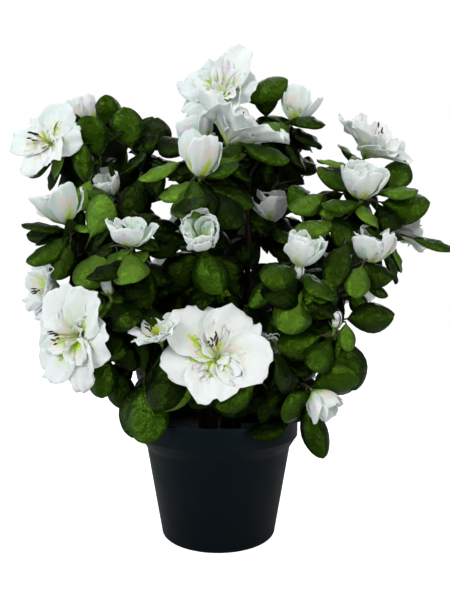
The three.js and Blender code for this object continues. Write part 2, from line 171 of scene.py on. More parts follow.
LAID_LEAVES = [
    Leaf("left_top", (0.78, 0.40, 0.34), (-115, 55), (-95, 15), 36, 28, MID),
    Leaf("left_top", (0.83, 0.69, 0.65), (-100, 65), (-80, 20), 32, 24, MID),
    Leaf("left_top", (0.67, 0.31, 0.09), (-100, 80), (-60, 10), 32, 18, MID),
    Leaf("left_top", (0.72, 0.26, 0.12), (-120, -65), (-70, 25), 30, 17, WELL_LIT),
    Leaf("left_top", (0.86, 0.60, 0.02), (-158, -20), (-110, 55), 36, 17, HALF_SHADE, 50),
    Leaf("left_shoulder", (0.46, 0.58, 0.62), (-135, 75), (-90, 20), 36, 29, MID),
    Leaf("left_shoulder", (0.50, 0.77, 0.60), (0, 72), (-90, 20), 38, 28, HALF_SHADE),
    Leaf("left_shoulder", (0.42, 0.65, 0.62), (-20, 20), (-90, 30), 30, 24, HEAVY_SHADE),
    Leaf("left_shoulder", (0.34, 0.34, 0.11), (180, 30), (-90, 45), 30, 18, MID),
    Leaf("left_shoulder", (0.58, 0.34, 0.35), (-140, -75), (-90, 15), 40, 28, HEAVY_SHADE),
    Leaf("left_shoulder", (0.20, 0.85, 0.45), (-60, 20), (-95, 20), 40, 30, HEAVY_SHADE),
    Leaf("left_shoulder", (0.60, 0.80, 0.40), (-140, 10), (-85, 20), 40, 30, HEAVY_SHADE),
    Leaf("left_shoulder", (0.85, 0.80, 0.42), (-20, 5), (-90, 25), 40, 26, HEAVY_SHADE),
    Leaf("left_side", (0.90, 0.31, 0.56), (-35, 60), (-85, 30), 37, 28, WELL_LIT),
    Leaf("left_side", (0.59, 0.42, 0.62), (-160, 5), (-110, 60), 36, 20, HALF_SHADE),
    Leaf("left_side", (0.69, 0.48, 0.54), (180, 80), (-130, 20), 36, 21, HEAVY_SHADE),
    Leaf("left_side", (0.63, 0.36, 0.58), (-150, -35), (-110, 30), 40, 24, MID),
    Leaf("left_side", (0.66, 0.31, 0.54), (-130, -65), (-95, 25), 34, 22, HALF_SHADE),
    Leaf("left_front", (0.47, 0.71, 0.56), (-130, -50), (-95, 30), 38, 31, SOFT_LIT),
    Leaf("left_front", (0.53, 0.77, 0.66), (-135, -50), (-90, 30), 30, 22, HEAVY_SHADE),
    Leaf("left_front", (0.62, 0.51, 0.42), (-5, 20), (-80, 40), 22, 14, SOFT_LIT),
    Leaf("left_front", (0.69, 0.91, 0.93), (0, -20), (-90, 30), 22, 15, HEAVY_SHADE),
    Leaf("left_front", (0.83, 0.71, 0.73), (-10, -10), (-90, 50), 32, 18, HEAVY_SHADE),
    Leaf("left_front", (1.00, 0.95, 0.46), (-155, -60), (-90, 25), 34, 22, HEAVY_SHADE),
    Leaf("left_low", (0.61, 0.63, 0.40), (-25, 70), (-85, 15), 41, 25, SOFT_LIT),
    Leaf("left_low", (0.80, 0.70, 0.72), (0, 60), (-90, 25), 20, 15, MID),
    Leaf("left_low", (0.55, 0.70, 0.37), (-60, -78), (-90, 15), 35, 24, MID),
    Leaf("left_low", (0.65, 0.84, 0.18), (-25, -65), (-90, 20), 34, 22, HALF_SHADE),
    Leaf("left_low", (0.20, 0.90, 0.86), (-140, -40), (-110, 35), 26, 15, HEAVY_SHADE),
    Leaf("skirt_left", (0.61, 0.46, 0.55), (-145, -85), (-90, 20), 34, 19, HALF_SHADE),
    Leaf("skirt_left", (0.48, 0.45, 0.41), (-70, -65), (-95, 18), 46, 33, MID),
    Leaf("skirt_left", (0.47, 0.55, 0.42), (-125, -74), (-85, 18), 44, 30, HALF_SHADE),
    Leaf("crown_top", (0.54, 0.17, 0.33), (-10, 18), (-80, 20), 42, 26, MID),
    Leaf("crown_front", (0.68, 0.30, 0.34), (-165, -30), (-95, 45), 31, 20, MID),
    Leaf("crown_front", (0.66, 0.30, 0.35), (-20, -25), (-85, 45), 42, 22, MID),
    Leaf("top_right", (0.16, 0.47, 0.54), (-95, 75), (-90, 10), 30, 21, HEAVY_SHADE),
    Leaf("top_right", (0.40, 0.32, 0.44), (-10, -8), (-60, 50), 34, 22, HALF_SHADE, 80),
    Leaf("upper_middle", (0.38, 0.60, 0.62), (-170, -25), (-110, 50), 35, 18, WELL_LIT),
    Leaf("upper_middle", (0.48, 0.49, 0.34), (-90, -60), (-95, 35), 34, 30, SOFT_LIT),
    Leaf("upper_middle", (0.51, 0.44, 0.36), (-75, -55), (-85, 25), 27, 16, MID),
    Leaf("upper_middle", (0.61, 0.53, 0.40), (0, 25), (-80, 50), 28, 17, MID),
    Leaf("upper_middle", (0.64, 0.66, 0.36), (0, -25), (-90, 25), 39, 24, HALF_SHADE),
    Leaf("front", (0.79, 0.47, 0.27), (-165, -30), (-90, 30), 34, 21, MID),
    Leaf("front", (0.59, 0.92, 0.87), (165, 65), (-90, 15), 30, 23, MID),
    Leaf("front", (0.28, 0.51, 0.34), (-160, -35), (-90, 25), 38, 25, WELL_LIT),
    Leaf("right_upper", (0.41, 0.62, 0.82), (180, 10), (-90, 75), 26, 14, WELL_LIT),
    Leaf("right_upper", (0.46, 0.55, 0.50), (180, 30), (-90, 40), 35, 20, MID),
    Leaf("right_upper", (0.49, 0.48, 0.32), (-170, -5), (-90, 45), 32, 18, MID),
    Leaf("right_upper", (0.70, 0.62, 0.36), (-10, -4), (-85, 20), 37, 30, MID),
    Leaf("right_upper", (0.65, 0.52, 0.47), (-10, 0), (-80, 50), 30, 19, SOFT_LIT),
    Leaf("right_upper", (0.70, 0.76, 0.60), (20, 30), (-80, 30), 28, 20, HEAVY_SHADE),
    Leaf("right_upper", (0.13, 0.69, 0.22), (-165, 40), (-90, 25), 32, 24, MID),
    Leaf("right_upper", (0.27, 0.48, 0.08), (-170, -10), (-90, 45), 34, 21, SOFT_LIT),
    Leaf("right_upper", (0.17, 0.60, 0.46), (-165, -25), (-90, 40), 32, 23, SOFT_LIT),
    Leaf("right_upper", (0.79, 0.70, 0.53), (20, 55), (-90, 20), 30, 24, MID),
    Leaf("top_right", (0.50, 0.50, 0.52), (-175, -8), (-90, 25), 36, 24, HEAVY_SHADE),
    Leaf("upper_middle", (0.43, 0.75, 0.79), (140, 30), (-90, 30), 34, 24, HEAVY_SHADE),
    Leaf("left_shoulder", (0.62, 0.60, 0.64), (65, 62), (-90, 15), 36, 32, HEAVY_SHADE),
    Leaf("centre", (0.14, 0.85, 0.76), (180, 8), (-90, 30), 26, 14, HEAVY_SHADE),
    Leaf("left_side", (0.58, 0.50, 0.62), (180, -5), (-100, 35), 36, 20, HEAVY_SHADE),
    Leaf("centre", (0.16, 0.70, 0.50), (180, -8), (-90, 30), 26, 15, HEAVY_SHADE),
    Leaf("right_upper", (0.38, 0.75, 0.50), (180, -8), (-90, 35), 24, 18, HEAVY_SHADE),
    Leaf("inner_right", (0.90, 0.60, 0.96), (70, 48), (-90, 20), 28, 20, HEAVY_SHADE),
    Leaf("right_upper", (0.67, 0.60, 0.34), (-60, -50), (-90, 20), 30, 22, HEAVY_SHADE),
    Leaf("skirt_left", (0.32, 0.70, 0.53), (-170, -40), (-90, 20), 27, 20, HEAVY_SHADE),
    Leaf("right_side", (0.52, 0.12, 0.28), (4, -14), (-60, 50), 36, 20, MID),
    Leaf("right_front", (0.31, 0.54, 0.38), (-10, -30), (-80, 30), 27, 25, HALF_SHADE),
    Leaf("right_front", (0.28, 0.37, 0.32), (-130, -60), (-90, 30), 28, 19, SOFT_LIT),
    Leaf("right_front", (0.10, 0.41, 0.67), (-140, -65), (-90, 20), 36, 22, HALF_SHADE),
    Leaf("centre_right", (0.80, 0.48, 0.20), (-155, -45), (-90, 30), 36, 28, MID),
    Leaf("centre_right", (0.31, 0.62, 0.39), (180, -20), (-90, 45), 28, 16, HALF_SHADE),
    Leaf("centre_right", (0.25, 0.62, 0.31), (-170, -45), (-100, 30), 42, 18, MID),
    Leaf("right_low", (0.86, 0.64, 0.92), (0, -30), (-80, 30), 20, 11, HALF_SHADE),
    Leaf("right_low", (0.45, 0.49, 0.87), (-140, -55), (-90, 25), 40, 29, SOFT_LIT),
    Leaf("right_low", (0.70, 0.44, 0.57), (5, 6), (-85, 20), 37, 24, HALF_SHADE),
    Leaf("right_low", (0.65, 0.44, 0.43), (-40, -70), (-90, 10), 43, 30, HALF_SHADE),
    Leaf("right_low", (0.69, 0.37, 0.54), (-90, -70), (-90, 25), 22, 13, SOFT_LIT),
    Leaf("right_low", (0.55, 0.46, 0.41), (-170, -15), (-90, 25), 35, 25, MID),
    Leaf("right_low", (0.57, 0.58, 0.14), (-170, -10), (-90, 40), 33, 19, HALF_SHADE),
    Leaf("right_low", (0.76, 0.58, 0.85), (0, -60), (-90, 20), 22, 15, HALF_SHADE),
    Leaf("skirt_right", (0.48, 0.63, 0.41), (-160, 60), (-90, 20), 36, 27, HALF_SHADE),
    Leaf("skirt_right", (0.44, 0.56, 0.40), (-160, -15), (-90, 50), 34, 19, HEAVY_SHADE),
    Leaf("skirt_right", (0.55, 0.52, 0.59), (-45, -68), (-85, 12), 42, 20, HALF_SHADE),
]

# Which leaf piece the masses of each side go to
SIDES = {
    "left": ("left_top", "left_shoulder", "left_side", "left_front", "left_low", "skirt_left"),
    "middle": ("crown_top", "crown_front", "top_right", "upper_middle", "centre", "front", "inner_right"),
    "right": (
        "right_top",
        "right_upper",
        "right_side",
        "right_front",
        "centre_right",
        "right_low",
        "skirt_right",
    ),
    "back": (
        "back_top",
        "back_left_high",
        "back_right_high",
        "back_middle",
        "back_left",
        "back_right",
        "back_left_mid",
        "back_right_mid",
        "back_left_low",
        "back_right_low",
    ),
}

# ---- Petals: how many stand in a layer, their length and half width in millimetres, how far they lean
# from the bloom's axis at the foot and at the tip in degrees, how strongly they ruffle in millimetres,
# how far they scatter from all this, the turn of the layer in degrees, and the bands of tint on them

Layer = namedtuple("Layer", "count length half_width lean_foot lean_tip ruffle scatter offset bands")

BLOOMS = {
    "open": (
        Layer(6, 43, 27, 46, 93, 3.4, 1.1, 0, "outer"),
        Layer(4, 25, 15, 42, 84, 2.4, 2.0, 34, "inner"),
        Layer(2, 13, 7, 22, 52, 1.4, 2.0, 60, "heart"),
    ),
    "wide": (
        Layer(5, 43, 31, 46, 93, 3.2, 0.8, 0, "outer"),
        Layer(5, 25, 15, 42, 84, 2.4, 1.6, 36, "inner"),
        Layer(2, 13, 7, 22, 52, 1.4, 2.0, 60, "heart"),
    ),
    "full": (
        Layer(6, 42, 25, 46, 86, 3.4, 1.6, 0, "outer"),
        Layer(5, 30, 17, 40, 66, 2.8, 1.8, 30, "inner"),
        Layer(3, 18, 9, 24, 40, 2.0, 2.0, 60, "heart"),
    ),
    "half": (
        Layer(6, 37, 20, 46, 66, 3.0, 1.6, 0, "outer"),
        Layer(4, 29, 16, 40, 54, 2.6, 1.6, 40, "inner"),
    ),
    "bowl": (
        Layer(4, 33, 22, 75, 14, 2.0, 1.2, 0, "cup"),
        Layer(3, 27, 17, 64, 8, 2.0, 1.4, 45, "cup"),
        Layer(2, 20, 11, 44, 2, 1.8, 1.6, 10, "cup"),
    ),
    "cup": (
        Layer(4, 30, 20, 76, -6, 1.8, 1.0, 0, "cup"),
        Layer(3, 28, 18, 68, -12, 2.0, 1.2, 50, "cup"),
        Layer(2, 21, 11, 50, -6, 1.8, 1.4, 20, "cup"),
    ),
    "egg": (
        Layer(3, 35, 22, 72, -14, 2.0, 1.1, 0, "cup"),
        Layer(3, 36, 17, 58, -14, 2.2, 1.4, 62, "cup"),
    ),
    "bud": (
        Layer(3, 15, 6, 38, -26, 0.3, 0.3, 0, "bud"),
        Layer(2, 14, 5, 34, -22, 0.3, 0.3, 50, "bud"),
    ),
}

# The petal's tints: its white, a grey and a green that are painted shade, and its own cream, blush and limes
PETAL_TINTS = (
    "petal_white",
    "petal_grey_shade",
    "petal_cream",
    "petal_peach",
    "petal_lilac",
    "petal_pale_lime",
    "petal_soft_lime",
    "petal_lime",
    "petal_green_shade",
)
WHITE, GREY_SHADE, CREAM, PEACH, LILAC, PALE_LIME, SOFT_LIME, LIME, GREEN_SHADE = range(len(PETAL_TINTS))

# ---- Bands of tint on a petal's inner face and on its back, each laid over the one before: its tint, its
# length along the petal's middle as a share of the petal's, how fast it shortens towards the sides, and
# whether only a spotted petal has it. BLUSH stands for a tint that is drawn for each petal.

BLUSH = -1
Band = namedtuple("Band", "tint length shortens spotted", defaults=(False,))

FACE_BANDS = {
    "outer": (
        Band(CREAM, 0.66, 0.1),
        Band(BLUSH, 0.58, 0.3),
        Band(PALE_LIME, 0.50, 0.6),
        Band(SOFT_LIME, 0.56, 1.0, spotted=True),
        Band(LIME, 0.49, 1.2, spotted=True),
    ),
    "inner": (
        Band(BLUSH, 0.86, 0.2),
        Band(PALE_LIME, 0.74, 0.4),
        Band(SOFT_LIME, 0.62, 0.6),
        Band(LIME, 0.64, 0.8, spotted=True),
    ),
    "heart": (Band(BLUSH, 0.80, 0.2), Band(PALE_LIME, 0.60, 0.3)),
    # Inside a cup, the green of painted shade darkens its hollow, under the limes
    "cup": (Band(GREEN_SHADE, 0.85, 0.2), Band(PALE_LIME, 0.60, 0.3), Band(LIME, 0.44, 0.4)),
    "bud": (Band(PALE_LIME, 0.40, 0.0),),
}
BACK_BANDS = {
    "outer": (
        Band(CREAM, 0.62, 0.5),
        Band(BLUSH, 0.62, 0.5, spotted=True),
        Band(PALE_LIME, 0.50, 0.5),
        Band(SOFT_LIME, 0.38, 0.5),
        Band(LIME, 0.26, 0.7),
    ),
    "inner": (),
    "heart": (),
    "cup": (Band(PALE_LIME, 0.55, 0.6), Band(SOFT_LIME, 0.46, 0.8), Band(LIME, 0.37, 1.0)),
    "bud": (Band(PALE_LIME, 0.40, 0.0),),
}


# ---- Settings


def length_setting(name, description, millimetres):
    """A length that can be changed, with its default in millimetres."""
    return FloatProperty(name=name, description=description, default=millimetres * MM, unit="LENGTH")


def colour_setting(name, description, shade):
    """A base colour that can be changed."""
    return FloatVectorProperty(name=name, description=description, default=shade, subtype="COLOR")


class AzaleaSizes(PropertyGroup):
    """Sizes of the pieces that the CAD frame leaves open."""

    seed: IntProperty(name="Seed", description="Start of every random draw", default=11)
    stem_radius: length_setting("Stem radius", "Radius of a stem at its foot", 3.1)
    stem_tip_radius: length_setting("Stem tip radius", "Radius of a stem at its tip", 1.9)
    bough_radius: length_setting("Bough radius", "Radius of a bough at its fork", 2.1)
    twig_radius: length_setting("Twig radius", "Radius of a twig at its fork", 1.5)
    twig_tip_radius: length_setting("Twig tip radius", "Radius of a twig under its whorl", 1.0)
    leaf_length: length_setting("Leaf length", "Length of a full leaf with its stalk", 42)
    leaf_width: length_setting("Leaf width", "Width of a full leaf", 30)
    leaf_thickness: length_setting("Leaf thickness", "Thickness of a leaf", 0.5)
    petal_thickness: length_setting("Petal thickness", "Thickness of a petal", 0.35)
    filament_length: length_setting("Filament length", "Length of a stamen's filament", 21)


class AzaleaColours(PropertyGroup):
    """Base colours of the finishes."""

    pot: colour_setting("Pot", "Moulded pot", (0.0020, 0.0032, 0.0042))
    # The filler's near black is partly its own colour and partly painted shade inside the pot
    filler: colour_setting("Filler", "Cast filler", (0.0022, 0.0019, 0.0018))
    bark: colour_setting("Bark", "Stems and boughs", (0.014, 0.006, 0.004))
    twig: colour_setting("Twig", "Young twigs", (0.055, 0.045, 0.018))
    leaf: colour_setting("Leaf", "Middle leaf green", (0.0085, 0.0245, 0.0005))
    underside: colour_setting("Underside", "Back of the leaves", (0.020, 0.045, 0.005))
    petal: colour_setting("Petal", "Petal white", (0.85, 0.91, 0.88))
    lime: colour_setting("Lime", "Spots in the throat", (0.48, 0.66, 0.03))
    peach: colour_setting("Peach", "Blush round the throat", (0.87, 0.78, 0.72))
    lilac: colour_setting("Lilac", "Cooler blush at its edge", (0.83, 0.73, 0.86))
    sepal: colour_setting("Sepal", "Sepals under a bloom", (0.16, 0.27, 0.06))
    filament: colour_setting("Filament", "Stamens' filaments", (0.46, 0.42, 0.16))
    anther: colour_setting("Anther", "Stamens' tips", (0.012, 0.012, 0.010))
    floor: colour_setting("Floor", "Studio floor", (0.60, 0.60, 0.60))


# ---- Vectors and lines


def unit(vectors):
    """The vectors at length one."""
    vectors = np.asarray(vectors, float)
    return vectors / np.linalg.norm(vectors, axis=-1, keepdims=True)


def direction(azimuth, elevation):
    """The unit vector at an azimuth and an elevation in degrees."""
    turn, rise = math.radians(azimuth), math.radians(elevation)
    return np.array([math.cos(rise) * math.cos(turn), math.cos(rise) * math.sin(turn), math.sin(rise)])


def square_to(axis):
    """Two unit vectors that make a right-handed set with an axis: the first is level, the second rises."""
    level = np.cross(UP, axis)
    if np.linalg.norm(level) < NEARLY_UPRIGHT:
        level = np.array([1.0, 0.0, 0.0])
    level = unit(level)
    return level, np.cross(axis, level)


def resample(points, count):
    """A smooth line through points, with its new points evenly spaced along it."""
    points = np.asarray(points, float)
    steps = np.linalg.norm(np.diff(points, axis=0), axis=1)
    knots = np.concatenate([[0], np.cumsum(steps)])
    slopes = np.gradient(points, knots, axis=0)
    places = np.linspace(0, knots[-1], count)
    span = np.clip(np.searchsorted(knots, places, side="right") - 1, 0, len(steps) - 1)
    width = steps[span][:, None]
    t = (places - knots[span])[:, None] / width
    return (
        (2 * t**3 - 3 * t**2 + 1) * points[span]
        + (t**3 - 2 * t**2 + t) * width * slopes[span]
        + (3 * t**2 - 2 * t**3) * points[span + 1]
        + (t**3 - t**2) * width * slopes[span + 1]
    )


def headings(line):
    """The unit tangents of a line at its points."""
    return unit(np.gradient(line, axis=0))


def bezier(start, leaving, entering, end, count):
    """Points along a cubic curve."""
    t = np.linspace(0, 1, count)[:, None]
    return (
        (1 - t) ** 3 * start
        + 3 * (1 - t) ** 2 * t * leaving
        + 3 * (1 - t) * t**2 * entering
        + t**3 * end
    )


# ---- Gathered meshes


@lru_cache(maxsize=None)
def shell_faces(rows, columns):
    """Faces of a closed shell: its upper grid, its lower grid and the rim between them."""
    grid = np.arange((rows + 1) * (columns + 1)).reshape(rows + 1, columns + 1)
    a, b, c, d = grid[:-1, :-1], grid[1:, :-1], grid[1:, 1:], grid[:-1, 1:]
    upper = np.stack([a, b, c, d], axis=-1).reshape(-1, 4)
    lower = upper[:, ::-1] + grid.size
    edge = np.concatenate([grid[0, :-1], grid[:-1, -1], grid[-1, :0:-1], grid[:0:-1, 0]])
    below = edge + grid.size
    rim = np.stack([edge, np.roll(edge, -1), np.roll(below, -1), below], axis=-1)
    return np.concatenate([upper, lower, rim])


@lru_cache(maxsize=None)
def tube_faces(stations, sides):
    """Faces of a tube of rings with flat ends; the number of sides is even."""
    grid = np.arange(stations * sides).reshape(stations, sides)
    after = np.roll(grid, -1, axis=1)
    wall = np.stack([grid[:-1], after[:-1], after[1:], grid[1:]], axis=-1).reshape(-1, 4)
    fan = np.array([[0, i, i + 1, i + 2] for i in range(1, sides - 2, 2)])
    return np.concatenate([wall, grid[0][fan[:, ::-1]], grid[-1][fan]])


class Heap:
    """Gathers closed pieces, whose faces all have four corners, for one mesh."""

    def __init__(self):
        self.points, self.faces, self.tints, self.size = [], [], [], 0

    def add(self, points, faces, tints):
        """A closed piece given by its points, its faces and their tints."""
        self.points.append(points)
        self.faces.append(faces + self.size)
        self.tints.append(np.broadcast_to(tints, len(faces)))
        self.size += len(points)

    def add_shell(self, grid, thickness, tints):
        """A sheet given by its grid of points, thickened to both sides."""
        rows, columns = grid.shape[0] - 1, grid.shape[1] - 1
        along, across = np.gradient(grid, axis=0), np.gradient(grid, axis=1)
        normals = unit(np.cross(along, across))
        upper = grid + normals * thickness / 2
        lower = grid - normals * thickness / 2
        points = np.concatenate([upper.reshape(-1, 3), lower.reshape(-1, 3)])
        self.add(points, shell_faces(rows, columns), tints)

    def add_tube(self, line, radii, sides, tint=0, relief=None):
        """A tube along a line, with a radius at each point, and its relief as shares of the radius."""
        along = headings(line)
        side = square_to(along[0])[0]
        turns = np.arange(sides) * 2 * math.pi / sides
        relief = np.ones((len(line), sides)) if relief is None else relief
        rings = []
        for place, heading, radius, shares in zip(line, along, radii, relief):
            side = unit(side - heading * (side @ heading))
            other = np.cross(heading, side)
            reach = radius * shares
            rings.append(
                place + np.outer(np.cos(turns) * reach, side) + np.outer(np.sin(turns) * reach, other)
            )
        self.add(np.concatenate(rings), tube_faces(len(line), sides), tint)

    def build(self, name, materials):
        """The object that holds the gathered mesh."""
        points = np.concatenate(self.points)
        faces = np.concatenate(self.faces).astype(np.int32)
        tints = np.concatenate(self.tints).astype(np.int32)
        mesh = bpy.data.meshes.new(name)
        mesh.vertices.add(len(points))
        mesh.vertices.foreach_set("co", points.astype(np.float32).ravel())
        mesh.loops.add(faces.size)
        mesh.loops.foreach_set("vertex_index", faces.ravel())
        mesh.polygons.add(len(faces))
        mesh.polygons.foreach_set("loop_start", np.arange(0, faces.size, 4, dtype=np.int32))
        mesh.polygons.foreach_set("material_index", tints)
        mesh.polygons.foreach_set("use_smooth", np.ones(len(faces), bool))
        mesh.update(calc_edges=True)
        mesh.validate()
        for material in materials:
            mesh.materials.append(material)
        piece = bpy.data.objects.new(name, mesh)
        bpy.context.scene.collection.objects.link(piece)
        return piece


def settle(piece, nodes=()):
    """Puts a finished piece on the plant's one body and hides the CAD nodes that it stands for."""
    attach(piece, "root")
    if nodes:
        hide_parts(*nodes)


# ---- Materials

Grain = namedtuple("Grain", "scale spread")
Relief = namedtuple("Relief", "scale height stretch", defaults=(EVEN,))

NOISE_LOW, NOISE_HIGH = 0.3, 0.7
GRAIN_DETAIL, RELIEF_DETAIL = 3, 4
BLEED_DEPTH = 0.7 * MM


def satin(name, colour, roughness, specular, grain, relief=None, gleam=EVEN, bleed=0.0):
    """A principled material. Its grain spreads the roughness by a noise, and its relief is a bump by a
    second noise. Gleam tints its highlights, and bleed is how much of the light passes into it."""
    made = bpy.data.materials.new(name)
    made.use_nodes = True
    nodes, links = made.node_tree.nodes, made.node_tree.links
    shader = nodes["Principled BSDF"]
    shader.inputs["Base Color"].default_value = (*colour, 1)
    shader.inputs["Roughness"].default_value = roughness
    shader.inputs["Specular IOR Level"].default_value = specular
    shader.inputs["Specular Tint"].default_value = (*gleam, 1)
    shader.inputs["Subsurface Weight"].default_value = bleed
    shader.inputs["Subsurface Radius"].default_value = EVEN
    shader.inputs["Subsurface Scale"].default_value = BLEED_DEPTH
    places = nodes.new("ShaderNodeTexCoord")
    noise = nodes.new("ShaderNodeTexNoise")
    noise.inputs["Scale"].default_value = grain.scale
    noise.inputs["Detail"].default_value = GRAIN_DETAIL
    ranged = nodes.new("ShaderNodeMapRange")
    ranged.inputs["From Min"].default_value = NOISE_LOW
    ranged.inputs["From Max"].default_value = NOISE_HIGH
    ranged.inputs["To Min"].default_value = roughness - grain.spread
    ranged.inputs["To Max"].default_value = roughness + grain.spread
    links.new(places.outputs["Object"], noise.inputs["Vector"])
    links.new(noise.outputs["Fac"], ranged.inputs["Value"])
    links.new(ranged.outputs["Result"], shader.inputs["Roughness"])
    if relief:
        mapping = nodes.new("ShaderNodeMapping")
        mapping.inputs["Scale"].default_value = relief.stretch
        noise = nodes.new("ShaderNodeTexNoise")
        noise.inputs["Scale"].default_value = relief.scale
        noise.inputs["Detail"].default_value = RELIEF_DETAIL
        bump = nodes.new("ShaderNodeBump")
        bump.inputs["Distance"].default_value = relief.height
        bump.inputs["Strength"].default_value = 1
        links.new(places.outputs["Object"], mapping.inputs["Vector"])
        links.new(mapping.outputs["Vector"], noise.inputs["Vector"])
        links.new(noise.outputs["Fac"], bump.inputs["Height"])
        links.new(bump.outputs["Normal"], shader.inputs["Normal"])
    return made


def mixed(colour, other, share):
    """A colour part of the way to another."""
    return tuple(a + (b - a) * share for a, b in zip(colour, other))


def pot_plastic(colours):
    """Black moulded plastic, satin, with a faint orange-peel surface."""
    return satin(
        "pot_plastic",
        colours.pot,
        roughness=0.44,
        specular=0.14,
        grain=Grain(60, 0.06),
        relief=Relief(900, 0.05 * MM),
        gleam=(0.5, 0.86, 1.0),
    )


def cast_filler(colours):
    """Rough cement, near black: partly its own dark colour, darkened further to paint the shade inside the
    pot.
    """
    return satin(
        "filler_cement",
        colours.filler,
        roughness=0.9,
        specular=0.06,
        grain=Grain(90, 0.08),
        relief=Relief(260, 0.6 * MM),
    )


def bark(colours):
    """Red-brown moulded bark."""
    return satin(
        "bark_moulded",
        colours.bark,
        roughness=0.6,
        specular=0.15,
        grain=Grain(200, 0.12),
        relief=Relief(420, 0.25 * MM, stretch=(1, 1, 0.35)),
    )


def green_twig(colours):
    """Olive sleeve of a young twig."""
    return satin(
        "twig_sleeve",
        colours.twig,
        roughness=0.55,
        specular=0.4,
        grain=Grain(200, 0.1),
        relief=Relief(420, 0.12 * MM, stretch=(1, 1, 0.4)),
    )


# The leaf greens in the order of their tints: the colour that the middle green is mixed with, its share
# and the gloss. Mixing towards black paints shade, mixing towards a pale green paints light, and the
# lighter copies get more gloss
BLACK, LIT_GREEN = (0.0, 0.0, 0.0), (0.26, 0.50, 0.05)
Green = namedtuple("Green", "mixed_with share gloss")
GREENS = (
    Green(BLACK, 0.92, 0.24),
    Green(BLACK, 0.70, 0.42),
    Green(BLACK, 0.0, 0.68),
    Green(LIT_GREEN, 0.13, 0.92),
    Green(LIT_GREEN, 0.27, 1.0),
)


def leaf_materials(colours):
    """Satin cloth leaf in its greens, the middle one and its copies with painted shade and painted light,
    and its paler back.
    """
    made = [
        satin(
            name,
            mixed(colours.leaf, green.mixed_with, green.share),
            roughness=0.36,
            specular=green.gloss,
            grain=Grain(160, 0.10),
            relief=Relief(230, 1.7 * MM),
            gleam=(0.46, 1.0, 0.07),
        )
        for name, green in zip(LEAF_TINTS, GREENS)
    ]
    back = satin(
        LEAF_TINTS[UNDERSIDE],
        colours.underside,
        roughness=0.7,
        specular=0.2,
        grain=Grain(160, 0.08),
        relief=Relief(700, 0.1 * MM),
    )
    return [*made, back]


# Colours that the petal white is mixed towards: a grey and a green for painted shade, and ivory for its
# cream
SHADOW_GREY, IVORY, SHADOW_GREEN = (0.62, 0.74, 0.72), (0.80, 0.90, 0.66), (0.42, 0.72, 0.46)


def petal_materials(colours):
    """Crinkled white cloth, with the tints of the throat and the grey and green of painted shade, in the
    order of their names.
    """
    white, lime = colours.petal, colours.lime
    shades = (
        white,
        mixed(white, SHADOW_GREY, 0.4),
        mixed(white, IVORY, 0.5),
        colours.peach,
        colours.lilac,
        mixed(white, lime, 0.46),
        mixed(white, lime, 0.72),
        lime,
        mixed(white, SHADOW_GREEN, 0.5),
    )
    return [
        satin(
            name,
            shade,
            roughness=0.8,
            specular=0.12,
            grain=Grain(220, 0.06),
            relief=Relief(300, 0.5 * MM),
            bleed=0.9,
        )
        for name, shade in zip(PETAL_TINTS, shades)
    ]


def sepal_green(colours):
    """Soft green sleeve of a bloom's stalk, cup and sepals."""
    return satin(
        "sepal_green",
        colours.sepal,
        roughness=0.6,
        specular=0.35,
        grain=Grain(200, 0.08),
        relief=Relief(600, 0.1 * MM),
    )


def stamen_materials(colours):
    """Pale thread of the filaments and dark tip of the anthers."""
    thread = satin("filament_thread", colours.filament, roughness=0.6, specular=0.3, grain=Grain(300, 0.05))
    tip = satin("anther_tip", colours.anther, roughness=0.5, specular=0.4, grain=Grain(300, 0.05))
    return [thread, tip]


def floor_paper(colours):
    """Matt studio paper."""
    return satin("floor_paper", colours.floor, roughness=0.9, specular=0.05, grain=Grain(30, 0.03))


# ---- Limbs

# A limb's middle line comes from samples of its surface, in bins along it. One sample in seven is enough
# to find its chord. The line starts a little deeper than the limb, and is cut into stations.
SAMPLES_PER_BIN = 600
CHORD_STEP = 7


def surface_points(node, count, random):
    """Points spread evenly over a CAD node's surface."""
    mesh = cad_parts[node].data
    mesh.calc_loop_triangles()
    corners = np.zeros(len(mesh.loop_triangles) * 3, np.int32)
    mesh.loop_triangles.foreach_get("vertices", corners)
    places = np.zeros(len(mesh.vertices) * 3, np.float32)
    mesh.vertices.foreach_get("co", places)
    a, b, c = places.reshape(-1, 3)[corners.reshape(-1, 3)].astype(float).transpose(1, 0, 2)
    areas = np.linalg.norm(np.cross(b - a, c - a), axis=1)
    chosen = random.choice(len(areas), count, p=areas / areas.sum())
    s, t = random.random((2, count, 1))
    s, t = np.where(s + t > 1, 1 - s, s), np.where(s + t > 1, 1 - t, t)
    return a[chosen] + s * (b - a)[chosen] + t * (c - a)[chosen]


def centre_line(node, bins, random):
    """The middle line of a long thin CAD node, from one end to the other: the middle of each bin of its
    surface points along its chord, and half a bin more at each end."""
    points = surface_points(node, SAMPLES_PER_BIN * bins, random)
    middle = points.mean(axis=0)
    chord = np.linalg.svd(points[::CHORD_STEP] - middle, full_matrices=False)[2][0]
    along = (points - middle) @ chord
    edges = np.linspace(along.min(), along.max(), bins + 1)
    bin_of = np.clip(np.searchsorted(edges, along, side="right") - 1, 0, bins - 1)
    line = np.array([points[bin_of == i].mean(axis=0) for i in range(bins)])
    first, last = 1.5 * line[0] - 0.5 * line[1], 1.5 * line[-1] - 0.5 * line[-2]
    return np.concatenate([[first], line, [last]])


def nearest(points, place):
    """The index of the point nearest to a place, and its distance."""
    distances = np.linalg.norm(points - place, axis=1)
    return int(distances.argmin()), float(distances.min())


STEM_BINS, BOUGH_BINS = 16, 7
STEM_STATIONS, BOUGH_STATIONS = 130, 44
ROOTED = 3 * MM


